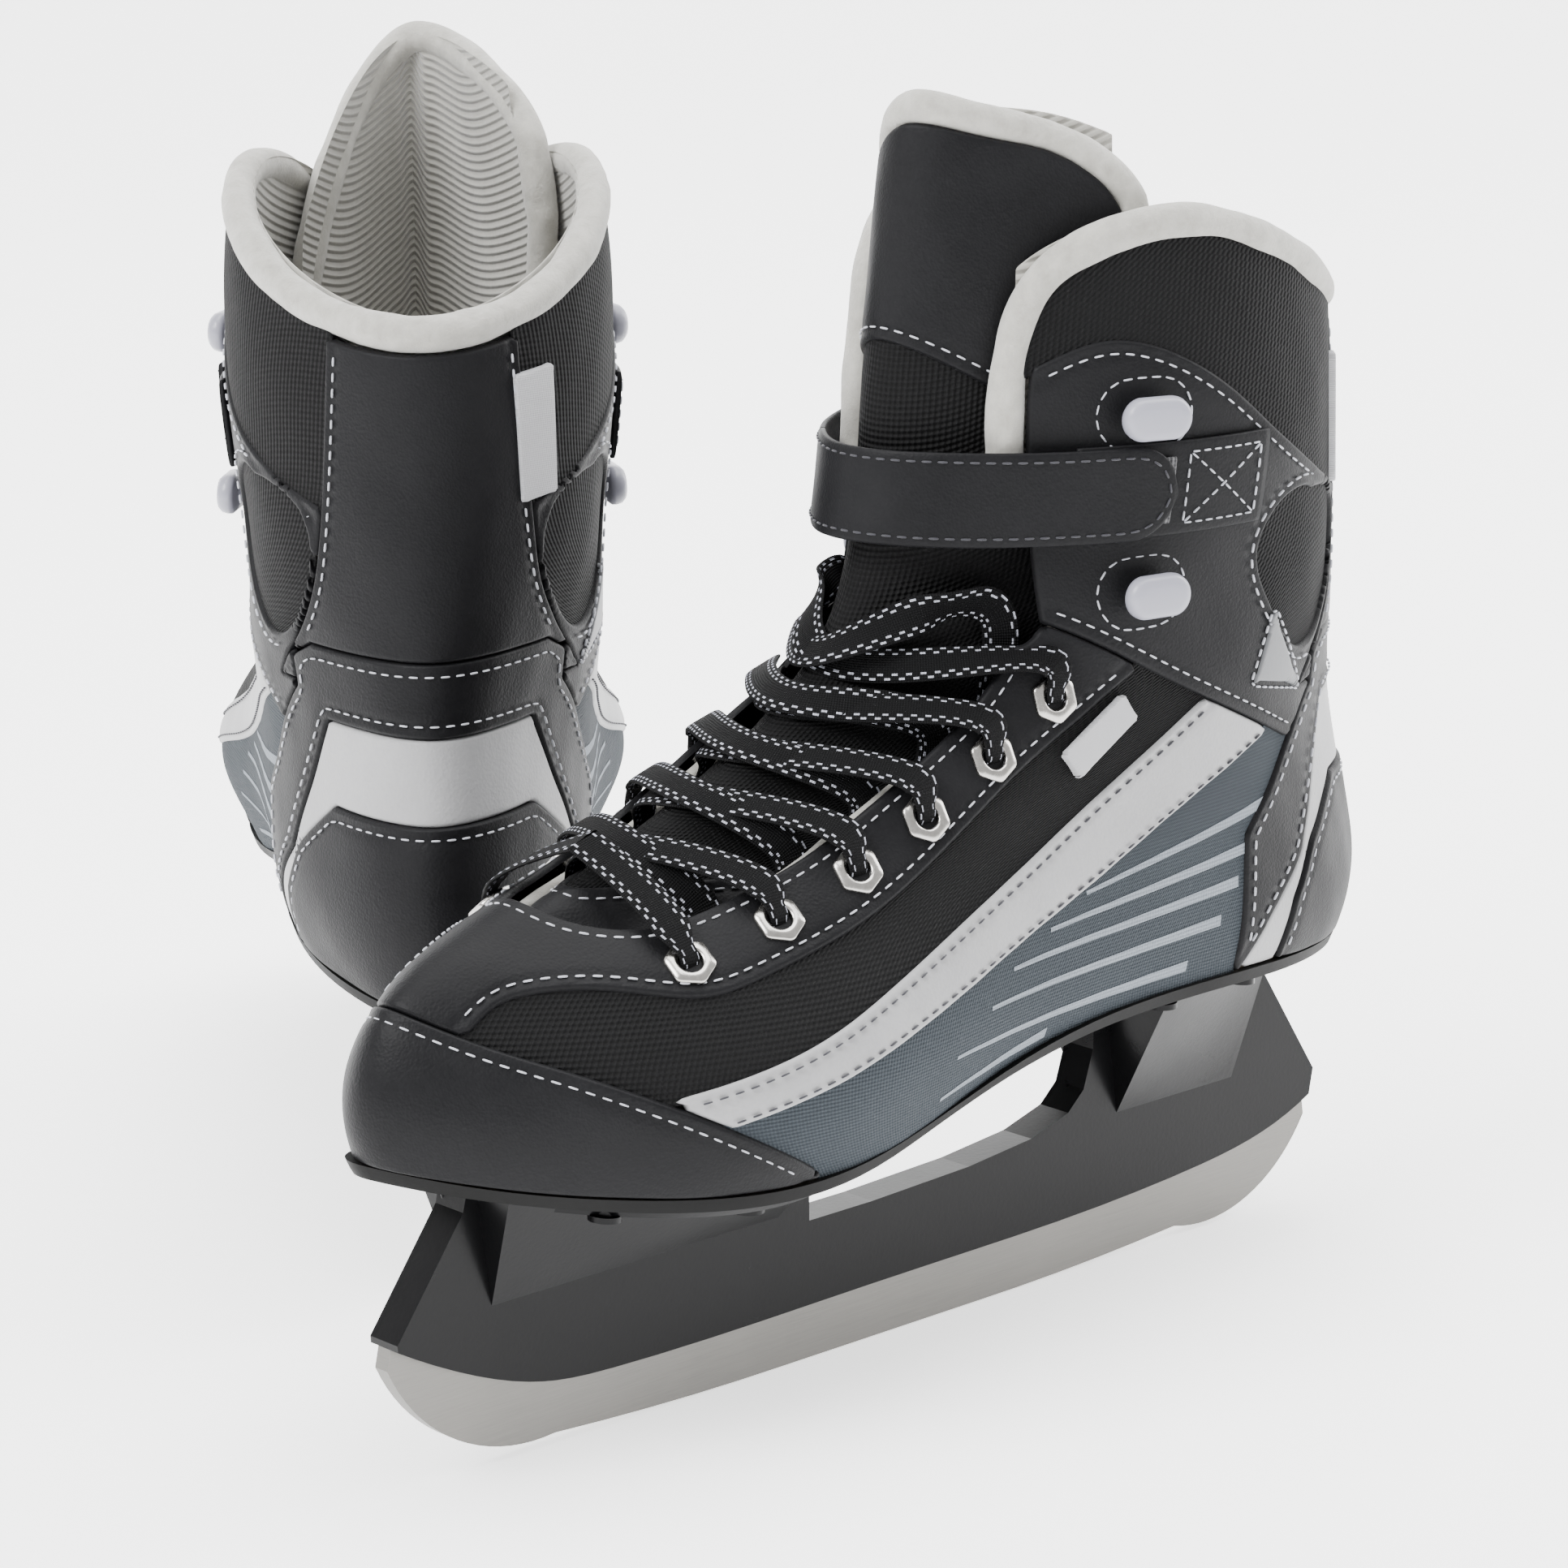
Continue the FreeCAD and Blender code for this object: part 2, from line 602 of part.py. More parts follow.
def strap_pieces():
    root_x, corner_x, tip_x = gx(STRAP_ROOT), gx(STRAP_CORNER), gx(STRAP_TIP)
    fold = 5.0
    root = strap_band(0, tab_thickness, [(gx(TAB_REAR), root_x - fold, -1)])
    root = root.fuse(strap_band(0, strap_outer, [(root_x - fold, root_x, -1)]))
    front = strap_band(strap_inner, strap_outer, [(root_x + hinge_gap, FAR, -1), (corner_x, FAR, 1)])
    end = strap_band(strap_inner, strap_outer, [(tip_x, corner_x - hinge_gap, 1)])
    radius = strap_height / 2
    middle = (strap_low + strap_high) / 2
    rounding = side_prism([Part.makeLine(Vector(FAR, 0, strap_low), Vector(tip_x + radius, 0, strap_low)),
                           Part.Arc(Vector(tip_x + radius, 0, strap_low), Vector(tip_x, 0, middle),
                                    Vector(tip_x + radius, 0, strap_high)).toShape(),
                           Part.makeLine(Vector(tip_x + radius, 0, strap_high), Vector(FAR, 0, strap_high)),
                           Part.makeLine(Vector(FAR, 0, strap_high), Vector(FAR, 0, strap_low))])
    patch = strap_band(strap_inner - patch_thickness, strap_inner, [(tip_x + 3, corner_x - 8, 1)], 3.0)
    tab = strap_band(0, tab_thickness, [(gx(TAB_REAR), gx(TAB_FRONT), 1)])
    return {"strap_root": one(root), "strap_front": one(front), "strap_end": one(end.common(rounding)),
            "strap_hook_patch": one(patch.common(rounding)), "strap_tab": one(tab)}


def hinge_point(x, side):
    """Outer face of the strap at a station: where its upright fold line lies."""
    return hit(Vector(x, 0, gz(STRAP_MID)), Vector(0, side, 0), boot_form(-strap_outer))


def label_pieces():
    skin = layer(-label_thickness, 0)
    side = skin.common(flat_prism(graded(SIDE_LABEL), 0, FAR))
    rear = skin.common(flat_prism(graded(REAR_LABEL), 0, FAR))
    badge = skin.common(flat_prism(graded(BADGE), 0, FAR))
    return {"sewn_labels": Part.makeCompound(side.Solids + rear.Solids), "ankle_badge": one(badge)}


# ---- sole, holder and blade ----------------------------------------------------------
def blade_outline():
    """Lower edge of the steel and its visible upper edge, each from rear to front."""
    half = blade_length / 2
    flat = blade_flat / 2
    lower = ((-half, 20.0), (-half * 0.915, 7.6), (-half * 0.68, 2.2), (-half * 0.45, 0.5), (-flat, 0.0),
             (flat, 0.0), (half * 0.45, 0.5), (half * 0.68, 2.2), (half * 0.885, 9.2), (half - 0.6, 27.5))
    top = blade_height
    upper = ((-half + 0.8, top + 12), (-half * 0.9, top + 7), (-half * 0.7, top + 2.6), (-half * 0.4, top + 0.4),
             (0.0, top), (half * 0.57, top), (half * 0.7, top + 1.6), (half * 0.86, top + 9), (half - 1.6, top + 18.3))
    return lower, upper


def blade():
    lower, upper = blade_outline()
    half = blade_length / 2

    def arc(a, b, c):
        return Part.Arc(Vector(a[0], 0, a[1]), Vector(b[0], 0, b[1]), Vector(c[0], 0, c[1])).toShape()

    def line(a, b):
        return Part.makeLine(Vector(a[0], 0, a[1]), Vector(b[0], 0, b[1]))

    top = blade_height + blade_embed
    held = [(half * 0.86, top + 7), (half * 0.7, top), (-half * 0.7, top), (-half * 0.88, top + 6)]
    path = [lower[-1], upper[-1]] + held + [upper[0], lower[0]]
    edges = [arc(*lower[0:3]), arc(*lower[2:5]), line(lower[4], lower[5]), arc(*lower[5:8]), arc(*lower[7:10])]
    edges += [line(a, b) for a, b in zip(path, path[1:])]
    return side_prism(edges, -blade_thickness / 2, blade_thickness / 2)


def outsole_bottom(lift=0.0):
    return below(graded(SOLE_LINE), lift - outsole_thickness)


POST_FRONT = ((139, 33.5), (121, 58), (118, 70))
POST_REAR = ((-112, 80), (-118.6, 66), (-141, 32))
HOLDER_WINDOW = ((24, 66), (24, 33), (5, 33), (-25, 34), (-45, 36), (-57, 39.5), (-62, 44), (-65, 53),
                 (-65.5, 66), (-65.5, 80), (24, 80))
PLATE_FRONT = (14, 132)
PLATE_REAR = (-140, -58)
FLARES = (((28, 36), (119, 20)), ((-117, 14), (-68, 28)))
FLARE_LOW = 36.0
plate_inset = 7.0


def holder_height(z):
    """Heights above the steel are graded between the steel and the sole."""
    return blade_height + (z - 13.7) * (sole_height - blade_height) / (PATTERN_SOLE - 13.7)


def holder_points(points):
    return [(x * blade_length / 281.0, holder_height(z)) for x, z in points]


def sole_plate(x0, x1, inset):
    plate = boot_form(inset).common(sole_band(-outsole_thickness - plate_thickness, -outsole_thickness))
    return plate.common(block(gx(x0), gx(x1), -FAR, FAR, 0, FAR))


def flare(x0, half0, x1, half1):
    """Splayed foot that carries a sole plate on the holder's wall, with a half width at each end."""
    low = holder_height(FLARE_LOW)
    high = holder_height(PATTERN_SOLE + 14)
    thin = web_thickness / 2
    lower = polygon([(x0 + 5, -thin, low), (x1 - 5, -thin, low), (x1 - 5, thin, low), (x0 + 5, thin, low)])
    upper = polygon([(x0, -half0, high), (x1, -half1, high), (x1, half1, high), (x0, half0, high)])
    return Part.makeLoft([lower, upper], True, True).common(outsole_bottom())


def blade_holder():
    lower, upper = blade_outline()
    front = holder_points(POST_FRONT)
    rear = holder_points(POST_REAR)
    path = [upper[-1]] + front + [(front[-1][0], 2 * sole_height), (rear[0][0], 2 * sole_height)] + rear + [upper[0]]
    edges = [spline([(x, 0, z) for x, z in upper])]
    edges += [Part.makeLine(Vector(a[0], 0, a[1]), Vector(b[0], 0, b[1])) for a, b in zip(path, path[1:])]
    web = side_prism(edges, -web_thickness / 2, web_thickness / 2).common(outsole_bottom())
    opening = flat_prism(holder_points(HOLDER_WINDOW))
    for start, end in FLARES:
        (x0, _), (x1, _) = holder_points([start, end])
        web = web.fuse(flare(x0, start[1], x1, end[1]))
    body = web.cut(opening)
    body = body.fuse(sole_plate(*PLATE_FRONT, plate_inset)).fuse(sole_plate(*PLATE_REAR, plate_inset))
    return one(body.cut(blade()).removeSplitter())


def rivets():
    """Rivets through the board, outsole and sole plates, with a head at each end."""
    low = -outsole_thickness - plate_thickness
    pieces = []
    for x, y in RIVETS:
        for side in (1, -1):
            base = Vector(gx(x), gy(side * y), 0)
            shank = Part.makeCylinder(rivet_r, FAR, base).common(sole_band(low, board_thickness))
            head = Part.makeCylinder(rivet_head_r, FAR, base).common(sole_band(low - rivet_head, low))
            pieces.append(one(shank.fuse(head).removeSplitter()))
    return pieces


def sole_pieces():
    outsole = OUTER.common(sole_band(-outsole_thickness, 0))
    board = boot_form(upper_thickness).common(sole_band(0, board_thickness))
    footbed = boot_form(upper_thickness + lining_thickness)
    footbed = footbed.common(sole_band(board_thickness, board_thickness + footbed_thickness))
    return {"outsole": one(outsole), "insole_board": one(board), "footbed": one(footbed)}


# ---- one skate, and the pair ------------------------------------------------------------
def drilled(piece, cutters):
    for cutter in cutters:
        piece = piece.cut(cutter)
    return one(piece)


def skate():
    """Every piece of one skate in its own frame, by name."""
    through = upper_thickness + lining_thickness + 2
    eyelet_seats = eyelet_frames()
    hook_seats = hook_frames()
    eyelet_cuts = [seated(barrel(eyelet_barrel_r, -through, 2), f) for f in eyelet_seats]
    hook_cuts = [seated(barrel(hook_stem_r, -hook_stand_off, 2), f) for f in hook_seats]
    shanks = rivets()
    pieces = upper_panels()
    pieces["boot_lining"] = drilled(boot_lining(), eyelet_cuts + hook_cuts)
    pieces["vamp"] = drilled(pieces["vamp"], eyelet_cuts)
    pieces["ankle_cuffs"] = drilled(pieces["ankle_cuffs"], hook_cuts)
    for name, shape in sole_pieces().items():
        pieces[name] = shape if name == "footbed" else drilled(shape, shanks)
    pieces["blade"] = blade()
    pieces["blade_holder"] = drilled(blade_holder(), shanks)
    pieces["holder_rivets"] = Part.makeCompound(shanks)
    pieces["tongue"], pieces["tongue_lining"] = tongue_pieces()
    pieces["eyelets"] = Part.makeCompound([seated(eyelet(), f) for f in eyelet_seats])
    pieces["speed_hooks"] = Part.makeCompound([seated(speed_hook(), f) for f in hook_seats])
    pieces["lace"] = lace()
    pieces.update(strap_pieces())
    pieces.update(label_pieces())
    return pieces


def place_left(shape):
    return shape.rotated(Vector(0, 0, 0), Vector(0, 0, 1), 180)


def place_right(shape):
    turned = shape.mirror(Vector(0, 0, 0), Vector(0, 1, 0))
    turned = turned.rotated(Vector(0, 0, 0), Vector(0, 0, 1), right_heading)
    return turned.translated(Vector(right_place[0], right_place[1], 0))


def build():
    os.makedirs("parts", exist_ok=True)
    for name, shape in skate().items():
        place_left(shape).exportStep("parts/left_%s.step" % name)
        place_right(shape).exportStep("parts/right_%s.step" % name)
    for label, x, side in (("root", gx(STRAP_ROOT) + hinge_gap / 2, -1),
                           ("corner", gx(STRAP_CORNER) - hinge_gap / 2, 1)):
        point = hinge_point(x, side)
        print("strap %s hinge" % label, tuple(place_left(Part.Vertex(point)).Point),
              tuple(place_right(Part.Vertex(point)).Point))


if __name__ == "__main__":
    build()
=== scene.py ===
import json
import math

import bpy
import numpy as np
from mathutils import Matrix, Vector
from mathutils.bvhtree import BVHTree


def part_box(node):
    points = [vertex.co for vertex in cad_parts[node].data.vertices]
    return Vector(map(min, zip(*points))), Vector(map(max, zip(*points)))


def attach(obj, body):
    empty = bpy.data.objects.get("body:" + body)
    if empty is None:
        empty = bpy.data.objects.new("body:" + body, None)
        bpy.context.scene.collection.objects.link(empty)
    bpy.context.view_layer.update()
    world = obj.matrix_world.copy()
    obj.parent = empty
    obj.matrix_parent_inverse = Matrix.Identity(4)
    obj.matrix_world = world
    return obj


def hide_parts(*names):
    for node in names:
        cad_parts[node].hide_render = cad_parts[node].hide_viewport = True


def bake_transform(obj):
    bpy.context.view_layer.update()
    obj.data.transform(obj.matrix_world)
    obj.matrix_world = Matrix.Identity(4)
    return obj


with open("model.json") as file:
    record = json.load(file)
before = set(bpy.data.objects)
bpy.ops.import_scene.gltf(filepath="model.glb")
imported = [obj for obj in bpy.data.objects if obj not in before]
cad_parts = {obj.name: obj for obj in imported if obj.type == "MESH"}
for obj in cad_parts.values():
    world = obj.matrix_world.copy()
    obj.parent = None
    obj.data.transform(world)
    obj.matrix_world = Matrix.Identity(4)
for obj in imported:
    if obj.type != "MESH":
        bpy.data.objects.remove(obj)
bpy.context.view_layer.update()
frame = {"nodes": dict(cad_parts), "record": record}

# Looks for a pair of laced ice skates.  One skate is shaped in its own frame, in
# millimetres: +X to the toe, +Y to the outer side, +Z up, origin on the ice under
# the blade.  Each piece is then placed twice: turned for the left skate, mirrored
# and turned for the right one.
MM = 0.001
record = frame["record"]
SIDES = ("left", "right")


# ---- where the two skates stand, from the frame -----------------------------
def joint_point(name):
    for joint in record["behaviour"]["joints"]:
        if joint["name"] == name:
            return np.array(joint["pos_m"]) / MM
    raise ValueError(name)


def mount_point(name):
    for mount in record["mounts"]:
        if mount["name"] == name:
            return np.array(mount["pos_m"]) / MM
    raise ValueError(name)


def heading_of_right():
    """Angle of the right skate's toe, from the same strap fold on both skates."""
    left = joint_point("left_strap_open")[:2] - mount_point("left_blade_contact")[:2]
    right = joint_point("right_strap_open")[:2] - mount_point("right_blade_contact")[:2]
    own = np.array((-left[0], left[1]))
    return math.atan2(right[1], right[0]) - math.atan2(own[1], own[0])


RIGHT_HEADING = heading_of_right()


def placed(side, points):
    """Points of one skate's own frame, in metres in the row frame."""
    points = np.asarray(points, float)
    if side == "left":
        return points * (-MM, -MM, MM)
    c, s = math.cos(RIGHT_HEADING), math.sin(RIGHT_HEADING)
    x, y, z = points[:, 0], points[:, 1], points[:, 2]
    foot = mount_point("right_blade_contact")
    return np.stack((foot[0] + x * c + y * s, foot[1] + x * s - y * c, z), 1) * MM


# ---- pattern of the upper ------------------------------------------------
OUTSOLE_LENGTH, OUTSOLE_WIDTH, LINING_TOP, PATTERN_SOLE = 288.1, 91.8, 250.2, 60.0
low, high = (np.array(p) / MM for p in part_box("left_outsole"))
GRADE = np.array(((high - low)[0] / OUTSOLE_LENGTH, (high - low)[1] / OUTSOLE_WIDTH,
                  (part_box("left_boot_lining")[1][2] / MM - PATTERN_SOLE) / (LINING_TOP - PATTERN_SOLE)))
TOE_LEAN = 2.5
RING_AT = (0.05, 0.16, 0.32, 0.52, 0.74, 0.92)
RINGS = (
    ((128, 52), (-138, 48), (17, 35, 42, 31, 29, 17)),
    ((138, 66), (-146, 66), (20, 41, 47.5, 35, 32, 20)),
    ((142, 81), (-150, 83), (21, 42.5, 53, 42.5, 37, 24)),
    ((139, 95), (-149, 98), (17.5, 39, 50, 44, 38.5, 24)),
    ((130, 107), (-146, 112), (13, 31, 43.5, 43, 38.5, 23)),
    ((108, 117), (-143, 125), (10, 25, 39.5, 41, 38.5, 22)),
    ((72, 130), (-141, 140), (12, 27, 37.5, 41, 38.5, 21)),
    ((34, 147), (-139.5, 154), (13.5, 27, 37, 41, 38, 20.5)),
    ((11, 168), (-138, 170), (14, 27, 38, 42, 38, 20)),
    ((3, 190), (-136.5, 187), (15, 28, 39, 44, 38.5, 20)),
    ((0, 212), (-135.5, 205), (15, 29, 40, 45.5, 39, 20)),
    ((-3, 236), (-134, 224), (15, 29, 39.5, 45, 38.5, 20)),
    ((-7, 266), (-131, 246), (14, 27, 37, 42.5, 36.5, 20)),
    ((-12, 290), (-128, 270), (13, 25, 35, 40, 34, 19)),
)
SOLE_LINE = ((165, 76), (145, 72), (122, 66.5), (95, 62.5), (60, 60), (28, 62),
             (0, 68), (-30, 73.5), (-62, 75), (-100, 73), (-150, 68), (-170, 66))
TOE_SEAM = ((142, 109), (134, 103.5), (123, 97), (111, 91.5), (95, 83.5), (80, 75), (60, 63), (50, 56))
EYESTAY_LINE = ((134, 94), (124, 99.7), (118, 103.8), (111, 105.6), (98, 105.6), (83, 103.2),
                (67, 105.6), (33, 115), (-5, 134), (-24, 143), (-41, 151.5), (-60, 160))
STRIPE_TOP = ((112, 82.5), (90, 85.5), (69, 90), (55, 94), (40, 99), (24, 104.5),
              (-1, 114), (-28, 125.7), (-59, 141.3), (-80, 152))
STRIPE_BOTTOM = ((100, 72), (81, 77), (70, 79.5), (58, 82.5), (44, 86.5), (28, 90.8),
                 (10, 95.5), (-26, 107.2), (-53, 117.3), (-84, 129), (-100, 135))
COUNTER_EDGE = ((-108, 137), (-97, 126), (-87, 114), (-69, 98), (-54, 81), (-47, 66))
CUFF_SEAM = ((-10, 168), (-21, 164), (-31, 159), (-53, 147), (-78, 135), (-100, 125), (-115, 119))
CUFF_TOP = ((-10, 214), (-23, 220.5), (-30, 223.5), (-38, 224.5), (-50, 221), (-65, 212),
            (-80, 201), (-95, 192), (-110, 185), (-125, 179), (-150, 170))
STAY_EDGE = ((-121.5, 245), (-122.5, 212), (-122, 190), (-121, 172), (-118.5, 160), (-113, 151),
             (-107, 145), (-100, 138))
BAND_TOP = ((-175, 148), (-116, 148), (-102, 141), (-92, 134), (-80, 126))
PANEL_EDGE = ((-175, 131), (-120, 131), (-112, 114), (-104, 98), (-91, 86), (-82, 74), (-79, 60))
PATCH_EDGE = ((-175, 112), (-124, 112), (-109, 100), (-101, 88), (-97, 72), (-96, 60))
WINDOW = ((-99, 184), (-84, 183), (-77.5, 174), (-83, 161), (-96, 148.5), (-107, 149.5),
          (-116, 160), (-118, 174))
COLLAR = ((-14.5, 166), (-14.5, 205), (-16.5, 224), (-23, 239), (-37, 247.5), (-57, 250),
          (-76, 245), (-97, 236), (-118, 226.5), (-138, 222), (-175, 221))
THROAT = ((97, 9), (84, 21), (65, 26), (45, 29), (27, 30), (9, 30), (-7, 30), (-17, 29.5))
TONGUE_ARCH = ((31, 60), (31, 160), (32.5, 215), (33, 240), (29, 258), (17, 271), (0, 275))
TONGUE_ARCH_FAR = ((31, 60), (31, 160), (31, 205), (28, 228), (22, 248), (13, 265), (0, 275))
TONGUE_UNDERSIDE = ((103, 92), (85, 92), (60, 98), (20, 112), (-20, 135), (-48, 175))
TONGUE_SEAM = ((40, 120), (33, 178), (27, 200), (16, 217), (6, 223), (0, 224))
TONGUE_LIFT = (0, 0, 0, 0, 0, 2, 4, 4.5, 5.5, 6.5, 7.2, 7.2, 7.2, 7.2)
TONGUE_LIFT_BESIDE = 0.75
EYELETS = ((81, 32), (59, 34.5), (38, 35.5), (19, 36), (-1, 36), (-19, 36.5))
HOOKS = ((-43, 208), (-43, 169))
STRAP_MID, STRAP_ROOT, STRAP_CORNER, STRAP_TIP, TAB_REAR, TAB_FRONT = 191.5, -50.0, -14.0, -47.0, -75.0, -27.0
SIDE_LABEL = ((-18.7, 137), (-22.5, 131), (-40.5, 141.5), (-37, 147.5))
BADGE = ((-84, 161), (-76, 142.5), (-101, 137))
REAR_LABEL = ((-115.5, 211), (-124.5, 210), (-124.5, 181), (-115.5, 182))
# Printed light stripes on the grey panel: wide end at the rear, point at the front.
PRINTS = (((-95, 114.2), (-24, 105.6)), ((-86, 104.6), (-12, 99.9)), ((-78, 97), (1, 94.2)),
          ((-72, 89), (9, 87.3)), ((-62, 80), (20, 78.6)), ((-16, 74.5), (21, 68.5)))
PRINT_REAR, PRINT_FRONT = 2.7, 1.0

UPPER, LINING, TONGUE_GAP, TONGUE_SKIN, TONGUE_PAD = 2.2, 4.0, 1.8, 2.0, 4.0
ROLL_DROP = 6.0
STRAP_HEIGHT, TAB, STRAP_GAP, PATCH, STRAP = 20.5, 1.7, 0.4, 1.1, 2.0
STRAP_INNER = TAB + STRAP_GAP + PATCH
LACE_WIDTH, LACE_THICK = 8.5, 1.2
EYELET_FLATS, EYELET_HOLE, EYELET_FLANGE = 10.0, 2.5, 0.9
HOOK_LENGTH, HOOK_HEIGHT, HOOK_HEAD, HOOK_OFF = 16.0, 9.6, 4.2, 4.0
COLUMNS, ROWS = 440, 220
FAR = 400.0


def graded(points):
    return np.array([(x * GRADE[0], PATTERN_SOLE + (z - PATTERN_SOLE) * GRADE[2]) for x, z in points])


# ---- smooth curves ---------------------------------------------------------
def spline_at(marks, values, at, periodic=False):
    """Cubic spline through values at marks, read at the places in at."""
    marks, values, at = np.asarray(marks, float), np.asarray(values, float), np.asarray(at, float)
    n = len(marks)
    h = np.diff(marks)
    shape = values.shape[1:]
    flat = values.reshape(n, -1)
    slope = np.diff(flat, axis=0) / h[:, None]
    size = n - 1 if periodic else n
    a = np.zeros((size, size))
    b = np.zeros((size, flat.shape[1]))
    for i in range(size):
        if not periodic and i in (0, n - 1):
            k = (0, 1, 2) if i == 0 else (n - 1, n - 2, n - 3)
            g = (h[0], h[1]) if i == 0 else (h[-1], h[-2])
            a[i, k[0]], a[i, k[1]], a[i, k[2]] = g[1], -(g[0] + g[1]), g[0]
            continue
        before = h[i - 1]
        a[i, (i - 1) % size] += before
        a[i, i] += 2 * (before + h[i % (n - 1)])
        a[i, (i + 1) % size] += h[i % (n - 1)]
        b[i] = 6 * (slope[i % (n - 1)] - slope[i - 1])
    second = np.linalg.solve(a, b)
    if periodic:
        second = np.vstack((second, second[:1]))
    k = np.clip(np.searchsorted(marks, at, side="right") - 1, 0, n - 2)
    t = (at - marks[k])[:, None]
    g = h[k][:, None]
    left, right = second[k], second[k + 1]
    out = flat[k] + t * (slope[k] - g * (2 * left + right) / 6) + t ** 2 * left / 2
    out += t ** 3 * (right - left) / (6 * g)
    return out.reshape((len(at),) + shape)


def chord_marks(points, power=0.5):
    steps = np.linalg.norm(np.diff(np.asarray(points, float), axis=0), axis=1) ** power
    marks = np.concatenate(((0.0,), np.cumsum(steps)))
    return marks / marks[-1]


def curve(points, count=90):
    points = np.asarray(points, float)
    return spline_at(chord_marks(points), points, np.linspace(0, 1, count))


def resampled(path, step):
    """Values at even distances along a path whose first three columns are the place."""
    gaps = np.linalg.norm(np.diff(path[:, :3], axis=0), axis=1)
    run = np.concatenate(((0.0,), np.cumsum(gaps)))
    count = max(int(round(run[-1] / step)), 1)
    at = np.linspace(0, run[-1], count + 1)
    return np.stack([np.interp(at, run, path[:, k]) for k in range(path.shape[1])], 1)


# ---- the boot's surface -----------------------------------------------------
def lean(x):
    t = np.clip((np.asarray(x, float) - 10.0) / 130.0, 0, 1)
    return -TOE_LEAN * t * t * (3 - 2 * t)


def ring_net():
    net = []
    for (xf, zf), (xr, zr), widths in RINGS:
        stations = [(0.0, 0.0)] + list(zip(RING_AT, widths)) + [(1.0, 0.0)]
        across = stations + [(q, -w) for q, w in reversed(stations[1:-1])]
        row = [(xf + (xr - xf) * q, w + float(lean(xf + (xr - xf) * q)), zf + (zr - zf) * q)
               for q, w in across]
        net.append(row)
    net = np.array(net)
    net[..., 2] -= PATTERN_SOLE
    net = net * GRADE
    net[..., 2] += PATTERN_SOLE
    return net


def unit(v):
    return v / np.maximum(np.linalg.norm(v, axis=-1, keepdims=True), 1e-9)


NET = ring_net()
NET_RISE = np.concatenate((NET[1:2] - NET[:1], NET[2:] - NET[:-2], NET[-1:] - NET[-2:-1]))
NET_NORMALS = unit(np.cross(np.roll(NET, -1, 1) - np.roll(NET, 1, 1), NET_RISE))


def form(inset, lift=None, columns=COLUMNS, rows=ROWS):
    """Grid of points, rows from the sole up and columns round from the front, moved in by inset."""
    depth = np.full(NET.shape[:2], float(inset))
    if lift is not None:
        depth[:, 0] -= lift
        depth[:, 1] -= np.array(lift) * TONGUE_LIFT_BESIDE
        depth[:, -1] -= np.array(lift) * TONGUE_LIFT_BESIDE
    net = NET - NET_NORMALS * depth[..., None]
    gaps = np.linalg.norm(np.roll(NET, -1, 1) - NET, axis=2) ** 0.75
    steps = gaps.mean(axis=0)
    marks = np.concatenate(((0.0,), np.cumsum(steps)))
    marks /= marks[-1]
    closed = np.concatenate((net, net[:, :1]), 1).transpose(1, 0, 2)
    around = spline_at(marks, closed, np.linspace(0, 1, columns, endpoint=False), True).transpose(1, 0, 2)
    return spline_at(chord_marks(NET[:, 0]), around, np.linspace(0, 1, rows))


class Skin:
    """A grid surface with its normals, its lengths in mm as UV, and its neighbours' steps."""

    def __init__(self, points):
        self.points = points
        rows, columns = points.shape[:2]
        self.du = (np.roll(points, -1, 1) - np.roll(points, 1, 1)) / 2
        self.dw = np.gradient(points, axis=0)
        self.normals = unit(np.cross(self.du, self.dw))
        half = columns // 2
        steps = np.linalg.norm(np.roll(points, -1, 1) - points, axis=2)
        front = np.concatenate((np.zeros((rows, 1)), np.cumsum(steps[:, :half], 1)), 1)
        back = np.concatenate((np.zeros((rows, 1)), np.cumsum(steps[:, half:][:, ::-1], 1)), 1)
        u = np.concatenate((front[:, :half], back[:, 1:][:, ::-1]), 1)
        rise = np.linalg.norm(np.diff(points, axis=0), axis=2)
        v = np.concatenate((np.zeros((1, columns)), np.cumsum(rise, 0)), 0)
        self.uv = np.stack((u, v), 2)

    def gradient(self, field):
        """The field's rise in space, along the surface."""
        fu = (np.roll(field, -1, 1) - np.roll(field, 1, 1)) / 2
        fw = np.gradient(field, axis=0)
        g11, g22 = (self.du ** 2).sum(2), (self.dw ** 2).sum(2)
        g12 = (self.du * self.dw).sum(2)
        det = np.maximum(g11 * g22 - g12 ** 2, 1e-9)
        return (((g22 * fu - g12 * fw) / det)[..., None] * self.du
                + ((g11 * fw - g12 * fu) / det)[..., None] * self.dw)

    def distance(self, field):
        """A field turned into a distance along the surface, near its zero line."""
        slope = np.linalg.norm(self.gradient(field), axis=2)
        return field / np.clip(slope, 0.25, 1.5)


def inside(flat, outline):
    """Signed distance of plane points to a closed outline, positive inside."""
    points = flat.reshape(-1, 2)
    best = np.full(len(points), 1e9)
    odd = np.zeros(len(points), bool)
    outline = np.asarray(outline, float)
    for a, b in zip(outline, np.roll(outline, -1, 0)):
        run = b - a
        length = max(float(run @ run), 1e-12)
        t = np.clip(((points - a) @ run) / length, 0, 1)
        gap = points - (a + t[:, None] * run)
        best = np.minimum(best, (gap ** 2).sum(1))
        if a[1] != b[1]:
            crosses = (a[1] > points[:, 1]) != (b[1] > points[:, 1])
            x = a[0] + (points[:, 1] - a[1]) / (b[1] - a[1]) * run[0]
            odd ^= crosses & (points[:, 0] < x)
    return (np.sqrt(best) * np.where(odd, 1, -1)).reshape(flat.shape[:-1])


